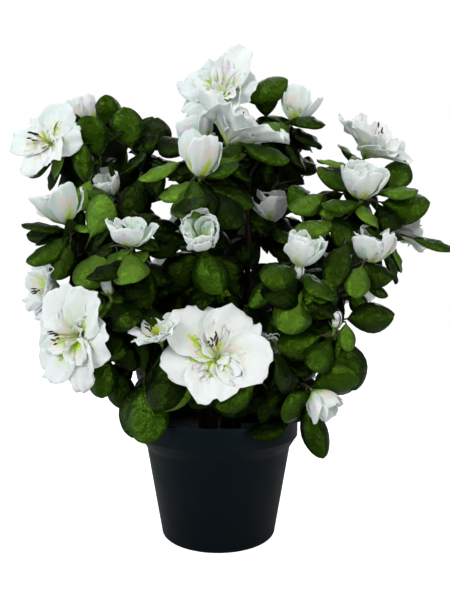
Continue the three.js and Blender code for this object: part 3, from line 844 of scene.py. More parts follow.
@lru_cache(maxsize=None)
def limb_lines(seed):
    """Each limb's middle line from its root to its tip: a stem starts in the filler, a bough in its stem."""
    random = np.random.default_rng(seed)
    lines = {}
    for node in STEM_NODES:
        line = centre_line(node, STEM_BINS, random)
        line = line if line[0][2] < line[-1][2] else line[::-1]
        root = line[0] - ROOTED * UP
        lines[node] = resample(np.concatenate([[root], line]), STEM_STATIONS)
    stems = np.concatenate([lines[n] for n in STEM_NODES])
    for node in BOUGH_NODES:
        line = centre_line(node, BOUGH_BINS, random)
        if nearest(stems, line[0])[1] > nearest(stems, line[-1])[1]:
            line = line[::-1]
        root = stems[nearest(stems, line[0])[0]]
        lines[node] = resample(np.concatenate([[root], line]), BOUGH_STATIONS)
    return lines


# The bark: long ridges, drifting round the limb, then scars a few stations apart, each a ring that swells
# most on one face, and a fine grain over all. Heights are shares of the limb's radius.
RIDGES = 5
RIDGE_HEIGHT = (0.015, 0.04)
RIDGE_DRIFT = (-0.12, 0.12)
RING_HEIGHT, SWELL_HEIGHT = 0.08, 0.16
SCAR_LENGTH = 1.3
FIRST_SCAR, NEXT_SCAR = (3, 7), (6, 11)
BARK_GRAIN = 0.015


def bark_relief(stations, sides, random):
    """The bark's relief, as shares of the radius at each point of a limb."""
    along = np.arange(stations)[:, None]
    around = np.arange(sides)[None, :] * 2 * math.pi / sides
    relief = np.ones((stations, sides))
    for _ in range(RIDGES):
        waves, drift, start = random.integers(1, 6), random.uniform(*RIDGE_DRIFT), random.uniform(0, 6.3)
        relief += random.uniform(*RIDGE_HEIGHT) * np.sin(waves * around + drift * along + start)
    scar = int(random.integers(*FIRST_SCAR))
    while scar < stations - 3:
        side = random.uniform(0, 2 * math.pi)
        height = RING_HEIGHT + SWELL_HEIGHT * np.exp(np.cos(around - side) * 2 - 2)
        relief += np.exp(-(((along - scar) / SCAR_LENGTH) ** 2)) * height
        scar += int(random.integers(*NEXT_SCAR))
    return relief + random.normal(0, BARK_GRAIN, relief.shape)


FLARE_REACH = 0.03


def add_limbs(heap, nodes, lines, radius, tip_radius, sides, flare, random):
    """Limbs with their bark's relief, and a flare at the foot."""
    for node in nodes:
        line = lines[node]
        share = np.linspace(0, 1, len(line))
        radii = radius + (tip_radius - radius) * share
        radii = radii * (1 + flare * np.exp(-share / FLARE_REACH))
        heap.add_tube(line, radii, sides, relief=bark_relief(len(line), sides, random))


# ---- Shoots, twigs and leaves. A twig leaves its limb along it and enters its whorl along the shoot's
# aim: the pulls are how far it keeps to each, and the bow how far it strays, as shares of its span.

# The twig forks off where its limb comes nearest to the heel, a place behind the whorl.

Grown = namedtuple("Grown", "shoot place aim twig seed")
HEEL = 24 * MM
CLEAR_OF_WHORL = 9 * MM
TWIG_STATIONS, TWIG_SIDES = 14, 8
TWIG_PULL, TWIG_BOW = 0.4, 0.06
TWIG_GRAIN = 0.05


def box_place(mass, share):
    """The place at a share of a foliage mass's box."""
    low, high = (np.array(corner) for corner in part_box(MASS_PREFIX + mass))
    return low + np.array(share) * (high - low)


@lru_cache(maxsize=None)
def grown_shoots(seed):
    """Every shoot with the twig that brings it from the limb nearest below its whorl."""
    lines = limb_lines(seed)
    stations = np.concatenate(list(lines.values()))
    runs = np.concatenate([headings(line) for line in lines.values()])
    grown = []
    for i, shoot in enumerate(SHOOTS):
        random = np.random.default_rng((seed, i))
        place, aim = box_place(shoot.mass, shoot.at), direction(*shoot.aim)
        away = np.linalg.norm(stations - place, axis=1) > CLEAR_OF_WHORL
        at = nearest(stations[away], place - HEEL * aim)[0]
        start, heading = stations[away][at], runs[away][at]
        span = np.linalg.norm(place - start)
        bow = random.normal(0, TWIG_BOW, 3) * span
        leaving = start + TWIG_PULL * span * heading + bow
        entering = place - TWIG_PULL * span * aim
        twig = bezier(start, leaving, entering, place, TWIG_STATIONS)
        grown.append(Grown(shoot, place, aim, twig, (seed, i, WHORL_DRAWS)))
    return grown


# The stalks of laid leaves are made as twigs are, with their radii in millimetres. A stalk laps a little
# into its leaf.
STALK_STATIONS, STALK_SIDES = 8, 6
STALK_RADIUS, STALK_TIP_RADIUS = 1.0, 0.6
STALK_HEEL = 10 * MM
STALK_PULL = 0.35
STALK_LAP = 1 * MM


def leaf_stalk(leaf, seed):
    """The stalk that brings a laid leaf from the twig or limb nearest behind its foot."""
    lines = [*limb_lines(seed).values(), *(grown.twig for grown in grown_shoots(seed))]
    stations = np.concatenate(lines)
    runs = np.concatenate([headings(line) for line in lines])
    place, heading = box_place(leaf.mass, leaf.at), direction(*leaf.heading)
    at = nearest(stations, place - STALK_HEEL * heading)[0]
    span = np.linalg.norm(place - stations[at])
    leaving = stations[at] + STALK_PULL * span * runs[at]
    entering = place - STALK_PULL * span * heading
    return bezier(stations[at], leaving, entering, place + STALK_LAP * heading, STALK_STATIONS)


# A leaf's own shape, in shares of its length along it and of its width across it: its grid, the bare
# stalk at its foot, its outline, its side veins, its midrib, and the waves and the arching of its blade
LEAF_ROWS = 12
LEAF_COLUMNS = np.array([-1, -0.68, -0.32, -0.05, 0.05, 0.32, 0.68, 1])
END_CROWDING = 0.11
STALK_LENGTH, STALK_HALF_WIDTH = 0.05, 0.045
WIDE_PLACE = 1.12
BLUNT_FOOT, SHARPER_TIP = 0.60, 0.16
VEIN_SLANT, VEIN_RELIEF = 0.22, 0.042
ROWS_PER_VEIN = 3
MIDRIB_DEPTH, MIDRIB_WIDTH = 0.035, 0.18
EDGE_WAVES = 7.5
DOMES, EDGE_LIFTS = (0.18, 0.36), (0.02, 0.05)


def leaf_outline(share):
    """Half width of a rounded leaf along its length, as a share of its greatest half width."""
    blade = np.clip((share - STALK_LENGTH) / (1 - STALK_LENGTH), 0, 1)
    blunt = BLUNT_FOOT - SHARPER_TIP * blade
    return np.maximum(np.sin(math.pi * blade**WIDE_PLACE) ** blunt, STALK_HALF_WIDTH)


def leaf_grid(length, width, curl, dome, wave, random):
    """A leaf's sheet along +X with its upper side towards +Z. Its rows follow the side veins."""
    t = np.linspace(0, 1, LEAF_ROWS + 1)[:, None]
    u = t - END_CROWDING * np.sin(2 * math.pi * t)
    v = LEAF_COLUMNS[None, :]
    s = np.clip(u + VEIN_SLANT * np.abs(v) * u * (1 - u), 0, 1)
    across = v * width / 2 * leaf_outline(s)
    veins = np.sin(2 * math.pi * np.arange(LEAF_ROWS + 1) / ROWS_PER_VEIN)[:, None]
    lift = veins * VEIN_RELIEF * width * np.sin(math.pi * u) * (1 - v**4)
    lift = lift - MIDRIB_DEPTH * width * np.exp(-((v / MIDRIB_WIDTH) ** 2)) * np.sin(math.pi * u) ** 0.5
    lift = lift - dome * width * v**2 * np.sin(math.pi * s) ** 0.5
    left, right = random.uniform(0, 2 * math.pi, 2)
    edge = np.sin(EDGE_WAVES * s + np.where(v < 0, left, right))
    lift = lift + wave * width * edge * v**2 * u
    bent = curl * s
    x = length * np.sin(bent) / curl + lift * np.sin(bent)
    z = -length * (1 - np.cos(bent)) / curl + lift * np.cos(bent)
    return np.stack(np.broadcast_arrays(x, across, z), axis=-1)


def add_leaf(heap, base, heading, facing, length, width, curl, tint, thickness, random):
    """A leaf from its base along the chord of a heading, with its upper side towards facing."""
    normal = unit(facing - heading * (facing @ heading))
    side = np.cross(normal, heading)
    half = curl / 2
    leaving = heading * math.cos(half) + normal * math.sin(half)
    normal = normal * math.cos(half) - heading * math.sin(half)
    dome, wave = random.uniform(*DOMES), random.uniform(*EDGE_LIFTS)
    grid = leaf_grid(length, width, curl, dome, wave, random)
    placed = base + grid @ np.stack([leaving, side, normal])
    rows, columns = LEAF_ROWS, len(LEAF_COLUMNS) - 1
    tints = np.full(len(shell_faces(rows, columns)), tint)
    tints[rows * columns : 2 * rows * columns] = UNDERSIDE
    heap.add_shell(placed, thickness, tints)


# The greens of a whorl's outer ring are drawn from painted shade, the middle green and painted light; the
# inner ring gets painted shade
OUTER_GREENS = (HEAVY_SHADE, HALF_SHADE, MID, SOFT_LIT, WELL_LIT)
INNER_GREENS = (HEAVY_SHADE, HEAVY_SHADE, HEAVY_SHADE, HALF_SHADE)
WHORL_TURN = math.radians(137.5) / 2

# How a whorl's leaves scatter: their base along the twig in millimetres, their turn round it in radians,
# their opening in degrees, their droop, their facing, their size, their width and their curl in degrees.
# They face part along the aim, part up and part outwards.
BASE_SCATTER, TURN_SCATTER, OPENING_SCATTER = 4, 0.16, 10
DROOPS, FACING_SCATTER = (0.05, 0.4), 0.2
LEAF_SIZES, LEAF_WIDTHS, CURLS = (0.86, 1.06), (0.92, 1.12), (20, 60)
FACES_AIM, FACES_UP, FACES_OUT = 0.35, 0.45, 0.6

Ring = namedtuple("Ring", "below count size opening")


def leaf_rings(shoot):
    """The whorls of leaves of a shoot: how far each stands below the tip, in millimetres, how many
    leaves it has, their size, and how far they open from the aim, in degrees."""
    return (
        Ring(0, shoot.leaves - 1, 0.84, 96),
        Ring(8, shoot.leaves, 1.0, 112),
    )


def outward(place):
    """The level direction from the plant's middle to a place."""
    low, high = CAD_BOX
    away = (place - (np.array(low) + np.array(high)) / 2) * (1, 1, 0)
    return unit(away + (0, 0.1 * MM, 0))


def place_down(line, distance):
    """The point of a line at a distance before its end."""
    back = line[::-1]
    lengths = np.concatenate([[0], np.cumsum(np.linalg.norm(np.diff(back, axis=0), axis=1))])
    return np.array([np.interp(distance, lengths, back[:, k]) for k in range(3)])


def add_whorls(heap, grown, sizes):
    """The whorls of leaves of one shoot."""
    random = np.random.default_rng(grown.seed)
    level, rising = square_to(grown.aim)
    turn = random.uniform(0, 2 * math.pi)
    # A shoot that carries only leaves stands inside the crown, so both its rings get painted shade
    outer = INNER_GREENS if grown.shoot.bloom == "leaf" else OUTER_GREENS
    for ring, greens in zip(leaf_rings(grown.shoot), (outer, INNER_GREENS)):
        for i in range(ring.count):
            base = place_down(grown.twig, ring.below * MM + random.uniform(0, BASE_SCATTER) * MM)
            around = turn + i * 2 * math.pi / ring.count + random.normal(0, TURN_SCATTER)
            spread = level * math.cos(around) + rising * math.sin(around)
            opening = math.radians(ring.opening + random.normal(0, OPENING_SCATTER))
            heading = grown.aim * math.cos(opening) + spread * math.sin(opening)
            heading = unit(heading - UP * random.uniform(*DROOPS))
            facing = FACES_AIM * grown.aim + FACES_UP * UP + FACES_OUT * outward(grown.place)
            facing = facing + random.normal(0, FACING_SCATTER, 3)
            size = ring.size * random.uniform(*LEAF_SIZES)
            add_leaf(
                heap,
                base + heading * sizes.twig_tip_radius,
                heading,
                facing,
                sizes.leaf_length * size,
                sizes.leaf_width * size * random.uniform(*LEAF_WIDTHS),
                math.radians(random.uniform(*CURLS)),
                random.choice(greens),
                sizes.leaf_thickness,
                random,
            )
        turn += WHORL_TURN


def add_laid_leaf(heap, leaf, seed, sizes):
    """One of the leaves that are laid one by one."""
    add_leaf(
        heap,
        box_place(leaf.mass, leaf.at),
        direction(*leaf.heading),
        direction(*leaf.facing),
        leaf.length * MM,
        leaf.width * MM,
        math.radians(leaf.curl),
        leaf.tint,
        sizes.leaf_thickness,
        np.random.default_rng(seed),
    )


# ---- Blooms

# The grids of petals, the radius of the throat that they stand round, and the steps of a petal's curve
# with the power that makes it lean early
PETAL_ROWS, PETAL_COLUMNS = 14, 20
BUD_ROWS, BUD_COLUMNS = 8, 6
THROAT = 1.6 * MM
PROFILE_STEPS = 60
LEAN_EARLY = 0.7


def petal_profile(length, lean_foot, lean_tip, share):
    """Distance from the bloom's axis, height along it and lean at shares of a petal's length."""
    t = np.linspace(0, 1, PROFILE_STEPS)
    lean = np.radians(lean_foot + (lean_tip - lean_foot) * t**LEAN_EARLY)
    step = length / (PROFILE_STEPS - 1)
    out = THROAT + np.concatenate([[0], np.cumsum(np.sin(lean[:-1]) * step)])
    rise = np.concatenate([[0], np.cumsum(np.cos(lean[:-1]) * step)])
    return np.interp(share, t, out), np.interp(share, t, rise), np.interp(share, t, lean)


# A petal's end: its reach along the middle, how much its corners are cut back, how bluntly, its scallops
# across half its width, its skew, and its fringe as pairs of waves: height, count and start
END_REACH, CORNER_CUT, END_SKEW = 0.98, 0.38, 0.05
BLUNTNESS, SCALLOPS = (2.4, 3.4), (0.9, 1.5)
FRINGE = ((0.010, 17, 2), (0.006, 31, 1))


def petal_end(v, ragged, random):
    """Where a petal ends across its width, as a share of its length: two or three rounded scallops."""
    blunt = random.uniform(*BLUNTNESS)
    scallops, start = random.uniform(*SCALLOPS), random.uniform(0, math.pi)
    notches = ragged * (1 - np.abs(np.cos(math.pi * scallops * v + start))) ** 2
    fringe = sum(height * np.sin(waves * v + shift * start) for height, waves, shift in FRINGE)
    skew = random.uniform(-END_SKEW, END_SKEW) * v
    return END_REACH - CORNER_CUT * np.abs(v) ** blunt - notches + fringe + skew


# A petal's own shape: its narrow foot, where it reaches its width, how it narrows again towards its tip,
# the most that it wraps round the bloom's axis in radians, how ragged its end is for each millimetre of
# its ruffle, how much it cups, and how its sides lap over one another
FOOT_WIDTH, WIDE_AT, WIDENING = 0.17, 0.66, 1.1
TIP_NARROWING, NARROWS_FROM, NARROWS_OVER = 0.16, 0.68, 0.32
WIDEST_WRAP = 1.35
RAGGED = 0.020
CUPPING, LAPPING = (-0.08, 0.18), 0.10

# The ruffle: the rim's height and its growth towards the tip, the waves along its two sides, and the
# ripples over the sheet, each with its height, waves across, waves along and growth towards the tip.
# Heights are shares of the petal's ruffle.
RIM_HEIGHT, RIM_GROWTH, RIM_WAVES = 0.8, 1.4, (8.5, 9.5)
RIPPLES = ((0.7, 6.0, 0, 2.5), (0.35, 12.5, 0, 1.2), (0.25, 21, 3, 3))


def petal_grid(length, half_width, lean_foot, lean_tip, ruffle, rows, columns, random):
    """A petal's sheet about +Z, its middle towards +X and its inner face towards the axis."""
    u = np.linspace(0, 1, rows + 1)[:, None]
    v = np.linspace(-1, 1, columns + 1)[None, :]
    share = np.clip(u * petal_end(v, RAGGED * ruffle / MM, random), 0, 1)
    out, rise, lean = petal_profile(length, lean_foot, lean_tip, share)
    swell = np.sin(math.pi / 2 * np.clip(share / WIDE_AT, 0, 1)) ** WIDENING
    swell = FOOT_WIDTH + (1 - FOOT_WIDTH) * swell
    narrowing = np.clip((share - NARROWS_FROM) / NARROWS_OVER, 0, 1) ** 2
    swell = swell * (1 - TIP_NARROWING * narrowing)
    wrap = v * half_width * swell / np.maximum(out, THROAT)
    wrap = WIDEST_WRAP * np.tanh(wrap / WIDEST_WRAP)
    left, right, *starts = random.uniform(0, 2 * math.pi, 5)
    rim = np.where(v < 0, np.sin(RIM_WAVES[0] * u + left), np.sin(RIM_WAVES[1] * u + right))
    lift = RIM_HEIGHT * ruffle * rim * v**2 * u**RIM_GROWTH
    for (share_of_ruffle, across, along, growth), start in zip(RIPPLES, starts):
        lift = lift + share_of_ruffle * ruffle * np.sin(across * v + along * u + start) * u**growth
    lift = lift + random.uniform(*CUPPING) * half_width * v**2 * u
    lift = lift + LAPPING * half_width * v * u
    radial = out - lift * np.cos(lean)
    height = rise + lift * np.sin(lean)
    return np.stack([radial * np.cos(wrap), radial * np.sin(wrap), height], axis=-1)


# Tints that a petal draws from, the grey among them being painted shade, how far its bands scatter from
# face to face and shift to one side, the share of petals that are spotted, and the wash and the streak on
# the back of a cup's petal; the wash is cream or one of the painted shades
PLAIN_TINTS, BLUSH_TINTS = (WHITE, WHITE, GREY_SHADE), (PEACH, PEACH, LILAC, CREAM)
CUP_BACK_TINTS = (CREAM, GREEN_SHADE, GREY_SHADE)
TINT_SCATTER, TINT_SHIFT = 0.035, 0.3
SPOTTED_SHARE = 0.75
WASH_LENGTH, WASH_SHORTENS = 0.80, 0.3
STREAK_HALF_WIDTH, STREAK_START, STREAK_END = 0.3, 0.3, 0.74


def lay_bands(tints, bands, u, v, blush, spotted):
    """Lays bands of tint over the faces of one side of a petal."""
    for band in bands:
        if spotted or not band.spotted:
            tints[u + band.shortens * v < band.length] = blush if band.tint == BLUSH else band.tint


def petal_tints(kind, rows, columns, random):
    """The tint of each face of a petal: limes and blush near the throat, whites beyond, with the grey of
    painted shade on some petals and the green of painted shade inside a cup. The back of a cup's petal
    has a wash of its own, cream or a painted shade, and a streak of blush along its middle."""
    u = (np.arange(rows)[:, None] + 0.5) / rows + random.normal(0, TINT_SCATTER, (rows, columns))
    across = (np.arange(columns)[None, :] + 0.5) / columns * 2 - 1
    v = np.abs(across - random.uniform(-TINT_SHIFT, TINT_SHIFT))
    # A plain petal is white, or in the grey of painted shade
    plain = random.choice(PLAIN_TINTS)
    blush = random.choice(BLUSH_TINTS)
    spotted = random.random() < SPOTTED_SHARE
    face = np.full((rows, columns), plain)
    back = np.full((rows, columns), plain)
    if kind == "cup":
        # The back of a cup is washed with cream, or with the green or grey of painted shade
        back[u + WASH_SHORTENS * v < WASH_LENGTH] = random.choice(CUP_BACK_TINTS)
        back[(v < STREAK_HALF_WIDTH) & (u > STREAK_START) & (u < STREAK_END)] = blush
    lay_bands(face, FACE_BANDS[kind], u, v, blush, spotted)
    lay_bands(back, BACK_BANDS[kind], u, v, blush, spotted)
    border = np.full(2 * (rows + columns), plain)
    return np.concatenate([face.ravel(), back.ravel(), border])


BLOOM_PIECES = (
    ("blooms_open", ("open", "wide", "full")),
    ("blooms_half_open", ("half",)),
    ("blooms_bowl", ("bowl", "egg")),
    ("blooms_cup", ("cup",)),
    ("buds", ("bud",)),
)

# The stalk of each kind of bloom beyond its whorl, in millimetres
BLOOM_STALK = {"open": 3, "wide": 3, "full": 2, "half": 2, "bowl": 1, "cup": 1, "egg": 1, "bud": 6}


def bloom_foot(grown):
    """Where a bloom's throat starts: a short stalk beyond its whorl."""
    return grown.place + grown.aim * BLOOM_STALK[grown.shoot.bloom] * MM


def bloom_axes(grown):
    """The level, rising and outward axes of a bloom."""
    return np.stack([*square_to(grown.aim), grown.aim])


def spun(grid, turn):
    """A grid of points turned about +Z."""
    x, y, z = grid[..., 0], grid[..., 1], grid[..., 2]
    return np.stack(
        [x * math.cos(turn) - y * math.sin(turn), x * math.sin(turn) + y * math.cos(turn), z], axis=-1
    )


# How petals scatter: their length, width and ruffle as shares, their leans and their turn in degrees, and
# how far a layer and every other petal in it stand along the axis, in millimetres
LONGER, WIDER, RUFFLED = (-0.09, 0.07), (0.92, 1.08), (0.7, 1.3)
FOOT_SCATTER, TIP_SCATTER, PETAL_TURN_SCATTER = 3, 7, 4
LAYER_STEP, PETAL_STEP = 0.9, 0.5


def add_petals(heap, grown, sizes):
    """The layers of petals of one bloom."""
    shoot = grown.shoot
    random = np.random.default_rng((*grown.seed, PETAL_DRAWS))
    rows, columns = (BUD_ROWS, BUD_COLUMNS) if shoot.bloom == "bud" else (PETAL_ROWS, PETAL_COLUMNS)
    for depth, layer in enumerate(BLOOMS[shoot.bloom]):
        for i in range(layer.count):
            grid = petal_grid(
                layer.length * MM * shoot.size * (1 + random.uniform(*LONGER) * layer.scatter),
                layer.half_width * MM * shoot.size * random.uniform(*WIDER),
                layer.lean_foot + random.normal(0, FOOT_SCATTER) * layer.scatter,
                layer.lean_tip + random.normal(0, TIP_SCATTER) * layer.scatter,
                layer.ruffle * MM * shoot.size * random.uniform(*RUFFLED),
                rows,
                columns,
                random,
            )
            turn = shoot.turn + layer.offset + 360 * i / layer.count + random.normal(0, PETAL_TURN_SCATTER)
            petal = spun(grid, math.radians(turn))
            petal[..., 2] += depth * LAYER_STEP * MM + (i % 2) * PETAL_STEP * MM
            placed = bloom_foot(grown) + petal @ bloom_axes(grown)
            heap.add_shell(placed, sizes.petal_thickness, petal_tints(layer.bands, rows, columns, random))


# A bloom's stalk and its small cup, in millimetres: the cup's heights from the throat and its radii
BLOOM_STALK_FOOT, BLOOM_STALK_RINGS, BLOOM_STALK_RADIUS = 2, 5, 1.3
CUP_HEIGHTS, CUP_RADII = (-1.5, 0, 2, 3.4), (1.3, 2.2, 2.5, 1.8)
BLOOM_STALK_SIDES, CUP_SIDES = 8, 10

# A sepal: its size, how it leans at its foot and tip, and how sharply it comes to its point
SEPALS = 5
SEPAL_ROWS, SEPAL_COLUMNS = 5, 4
SEPAL_LENGTH, SEPAL_HALF_WIDTH, SEPAL_RUFFLE, SEPAL_THICKNESS = 7 * MM, 2.2 * MM, 0.2 * MM, 0.5 * MM
SEPAL_LEANS = (62, 30)
SEPAL_DROP = 0.8
POINT_CUT, POINT_SHARPNESS = 0.85, 1.5
BUD_SEPALS, BLOOM_SEPALS = 0.8, 0.9


def add_sepals(heap, grown, sizes):
    """A stalk, a small cup and five pointed sepals under a bloom."""
    random = np.random.default_rng((*grown.seed, SEPAL_DRAWS))
    foot = bloom_foot(grown)
    stalk = np.linspace(grown.place - grown.aim * BLOOM_STALK_FOOT * MM, foot, BLOOM_STALK_RINGS)
    radii = np.linspace(sizes.twig_tip_radius, BLOOM_STALK_RADIUS * MM, BLOOM_STALK_RINGS)
    heap.add_tube(stalk, radii, BLOOM_STALK_SIDES)
    cup = foot + np.outer(np.array(CUP_HEIGHTS) * MM, grown.aim)
    heap.add_tube(cup, np.array(CUP_RADII) * MM, CUP_SIDES)
    small = BUD_SEPALS if grown.shoot.bloom == "bud" else BLOOM_SEPALS
    length, half_width = SEPAL_LENGTH * small, SEPAL_HALF_WIDTH * small
    for i in range(SEPALS):
        grid = petal_grid(length, half_width, *SEPAL_LEANS, SEPAL_RUFFLE, SEPAL_ROWS, SEPAL_COLUMNS, random)
        grid[..., 1] *= 1 - POINT_CUT * np.linspace(0, 1, SEPAL_ROWS + 1)[:, None] ** POINT_SHARPNESS
        petal = spun(grid, 2 * math.pi * i / SEPALS)
        placed = foot + petal @ bloom_axes(grown) - grown.aim * SEPAL_DROP * MM
        heap.add_shell(placed, SEPAL_THICKNESS, 0)


# The stamens: how many a kind of bloom has, where they start beyond its foot and which way they sweep
# from its turn, how long they are, how far they sweep and fan out, how far a filament keeps to the aim
# at its foot and to its own way at its tip, its radii, and its anther's length, radii and tilt, with
# sizes in millimetres
STAMENS = {"open": 8, "wide": 8, "half": 4, "bowl": 2}
STAMEN_START, STAMEN_SWEEP = 3, 200
STAMEN_LENGTHS = (0.72, 1.1)
SWEEP_REACH, FAN_REACH = 0.34, 0.30
FOOT_PULL, TIP_PULL, TIP_BEND = 0.4, 0.3, 0.4
FILAMENT_RINGS, FILAMENT_RADII = 9, (0.36, 0.26)
ANTHER_HALF_LENGTH, ANTHER_RADII = 2.4, (0.2, 0.6, 0.75, 0.7, 0.55, 0.2)
ANTHER_ALONG, ANTHER_ACROSS = 0.9, 0.4
STAMEN_SIDES = 6
FILAMENT_TINT, ANTHER_TINT = 0, 1


def add_stamens(heap, grown, sizes):
    """Filaments that fan out of the throat and sweep to one side, each with its dark anther."""
    shoot = grown.shoot
    random = np.random.default_rng((*grown.seed, STAMEN_DRAWS))
    level, rising = square_to(grown.aim)
    foot = bloom_foot(grown) + grown.aim * STAMEN_START * MM
    sweep = math.radians(shoot.turn + STAMEN_SWEEP)
    lean = level * math.cos(sweep) + rising * math.sin(sweep)
    for _ in range(STAMENS[shoot.bloom]):
        around = random.uniform(0, 2 * math.pi)
        spread = level * math.cos(around) + rising * math.sin(around)
        length = sizes.filament_length * shoot.size * random.uniform(*STAMEN_LENGTHS)
        reach = SWEEP_REACH * lean + FAN_REACH * random.uniform(0.4, 1) * spread
        tip = foot + length * unit(grown.aim + reach)
        leaving = foot + grown.aim * FOOT_PULL * length
        entering = tip - TIP_PULL * length * unit(grown.aim + TIP_BEND * reach)
        line = bezier(foot + spread * MM, leaving, entering, tip, FILAMENT_RINGS)
        heap.add_tube(line, np.linspace(*FILAMENT_RADII, FILAMENT_RINGS) * MM, STAMEN_SIDES, FILAMENT_TINT)
        end = headings(line)[-1]
        across = unit(np.cross(end, spread) + 0.3 * lean)
        heights = np.linspace(-ANTHER_HALF_LENGTH, ANTHER_HALF_LENGTH, len(ANTHER_RADII)) * MM
        pod = tip + np.outer(heights, unit(end * ANTHER_ALONG + across * ANTHER_ACROSS))
        heap.add_tube(pod, np.array(ANTHER_RADII) * MM, STAMEN_SIDES, ANTHER_TINT)


# ---- Pot and filler, shaped in edit mode

POT_SEGMENTS, FILLER_SEGMENTS = 128, 96


def rounded(radius, height, corner, start, stop, steps):
    """Points of an arc about a corner's centre, angles in degrees from outwards towards up."""
    angles = np.radians(np.linspace(start, stop, steps))
    return [(radius + corner * math.cos(a), height + corner * math.sin(a)) for a in angles]


def ring_radius(node, height):
    """Greatest radius of a CAD node's vertices at a height."""
    places = np.array([v.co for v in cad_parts[node].data.vertices])
    level = places[np.abs(places[:, 2] - height) < 0.2 * MM]
    return float(np.linalg.norm(level[:, :2], axis=1).max())


def turned_piece(name, outline, segments):
    """A solid turned about the Z axis: a disc that is extruded ring by ring along an outline."""
    bpy.ops.object.select_all(action="DESELECT")
    radius, height = outline[0]
    bpy.ops.mesh.primitive_circle_add(
        vertices=segments, radius=radius, fill_type="NGON", location=(0, 0, height)
    )
    piece = bpy.context.object
    piece.name = piece.data.name = name
    bpy.ops.object.transform_apply(location=True, rotation=False, scale=False)
    bpy.ops.object.mode_set(mode="EDIT")
    bpy.ops.mesh.select_all(action="SELECT")
    for next_radius, next_height in outline[1:]:
        bpy.ops.mesh.extrude_region_move(
            TRANSFORM_OT_translate={"value": (0, 0, next_height - height)}
        )
        share = next_radius / radius
        bpy.ops.transform.resize(value=(share, share, 1), center_override=(0, 0, next_height))
        radius, height = next_radius, next_height
    bpy.ops.mesh.select_all(action="SELECT")
    bpy.ops.mesh.normals_make_consistent(inside=False)
    bpy.ops.object.mode_set(mode="OBJECT")
    return piece


# The pot's wall and floor, the recess under its base, its rounded edges, the heights of the two ends of
# the step under its collar, and the collar's draft
POT_WALL, POT_FLOOR = 1.9 * MM, (10 * MM, 2.5 * MM)
BASE_RECESS = ((30 * MM, 1.2 * MM), (32 * MM, 0.2 * MM), (33 * MM, 0))
FOOT_CORNER, LIP = 3 * MM, 1.0 * MM
SHOULDER_HEIGHT, COLLAR_HEIGHT = 73 * MM, 82 * MM
COLLAR_DRAFT = 0.15 * MM
SHARP_EDGE = math.radians(35)


def pot_outline():
    """The pot's outline: out along its base, up its outside, over its lip and down inside to its floor."""
    low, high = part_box(POT_NODE)
    height, collar = high.z, (high.x - low.x) / 2
    foot, shoulder = ring_radius(POT_NODE, FOOT_CORNER), ring_radius(POT_NODE, SHOULDER_HEIGHT)
    return [
        *BASE_RECESS,
        *rounded(foot - FOOT_CORNER, FOOT_CORNER, FOOT_CORNER, -90, 0, 6),
        (shoulder - 0.4 * MM, SHOULDER_HEIGHT - 2 * MM),
        (shoulder, SHOULDER_HEIGHT),
        (shoulder + 0.7 * MM, SHOULDER_HEIGHT + 0.8 * MM),
        (collar - 0.8 * MM, COLLAR_HEIGHT - 0.8 * MM),
        (collar - COLLAR_DRAFT, COLLAR_HEIGHT),
        (collar - COLLAR_DRAFT, COLLAR_HEIGHT + 0.6 * MM),
        (collar, height - 6 * MM),
        *rounded(collar - LIP, height - LIP, LIP, 0, 180, 9),
        (collar - POT_WALL, COLLAR_HEIGHT),
        (shoulder - POT_WALL, SHOULDER_HEIGHT),
        (foot - POT_WALL, FOOT_CORNER),
        POT_FLOOR,
    ]


class AZALEA_OT_pot(Operator):
    """Make the pot: a tapering wall, a plain collar and a rounded lip."""

    bl_idname = "azalea.pot"
    bl_label = "Pot"

    def execute(self, context):
        piece = turned_piece("pot_shell", pot_outline(), POT_SEGMENTS)
        bpy.ops.object.shade_smooth_by_angle(angle=SHARP_EDGE)
        piece.data.materials.append(pot_plastic(context.scene.azalea_colours))
        settle(piece, [POT_NODE])
        return {"FINISHED"}


# The filler's foot and wall, its top's chamfer and rings, and the lumps that a clouds texture lifts on it
FILLER_FOOT, FILLER_WAIST = (20 * MM, 43 * MM), (56 * MM, 70 * MM)
FILLER_WALL_TOP, TOP_CHAMFER = 81 * MM, 1.2 * MM
TOP_RINGS, TOP_EDGE, TOP_MIDDLE = 26, 0.97, 0.02
LUMP_SIZE, LUMP_HEIGHT, LUMP_DETAIL = 7 * MM, 3.2 * MM, 4


def filler_outline():
    """The filler's outline: out along its foot, up the pot's wall, and over its top to the middle."""
    low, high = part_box(FILLER_NODE)
    edge, top = (high.x - low.x) / 2, high.z
    return [
        *((radius, low.z) for radius in FILLER_FOOT),
        FILLER_WAIST,
        (edge, FILLER_WALL_TOP),
        (edge, top - TOP_CHAMFER),
        *((edge * share, top) for share in np.linspace(TOP_EDGE, TOP_MIDDLE, TOP_RINGS)),
    ]


def roughen_top(piece):
    """Lifts and sinks the top of the filler into low lumps."""
    top = max(v.co.z for v in piece.data.vertices)
    crust = piece.vertex_groups.new(name="crust")
    crust.add([v.index for v in piece.data.vertices if v.co.z > top - 0.5 * MM], 1, "REPLACE")
    lumps = bpy.data.textures.new("lumps", "CLOUDS")
    lumps.noise_scale = LUMP_SIZE
    lumps.noise_depth = LUMP_DETAIL
    relief = piece.modifiers.new("relief", "DISPLACE")
    relief.texture = lumps
    relief.texture_coords = "LOCAL"
    relief.vertex_group = crust.name
    relief.strength = LUMP_HEIGHT
    relief.mid_level = 0.5
    bpy.ops.object.modifier_apply(modifier=relief.name)


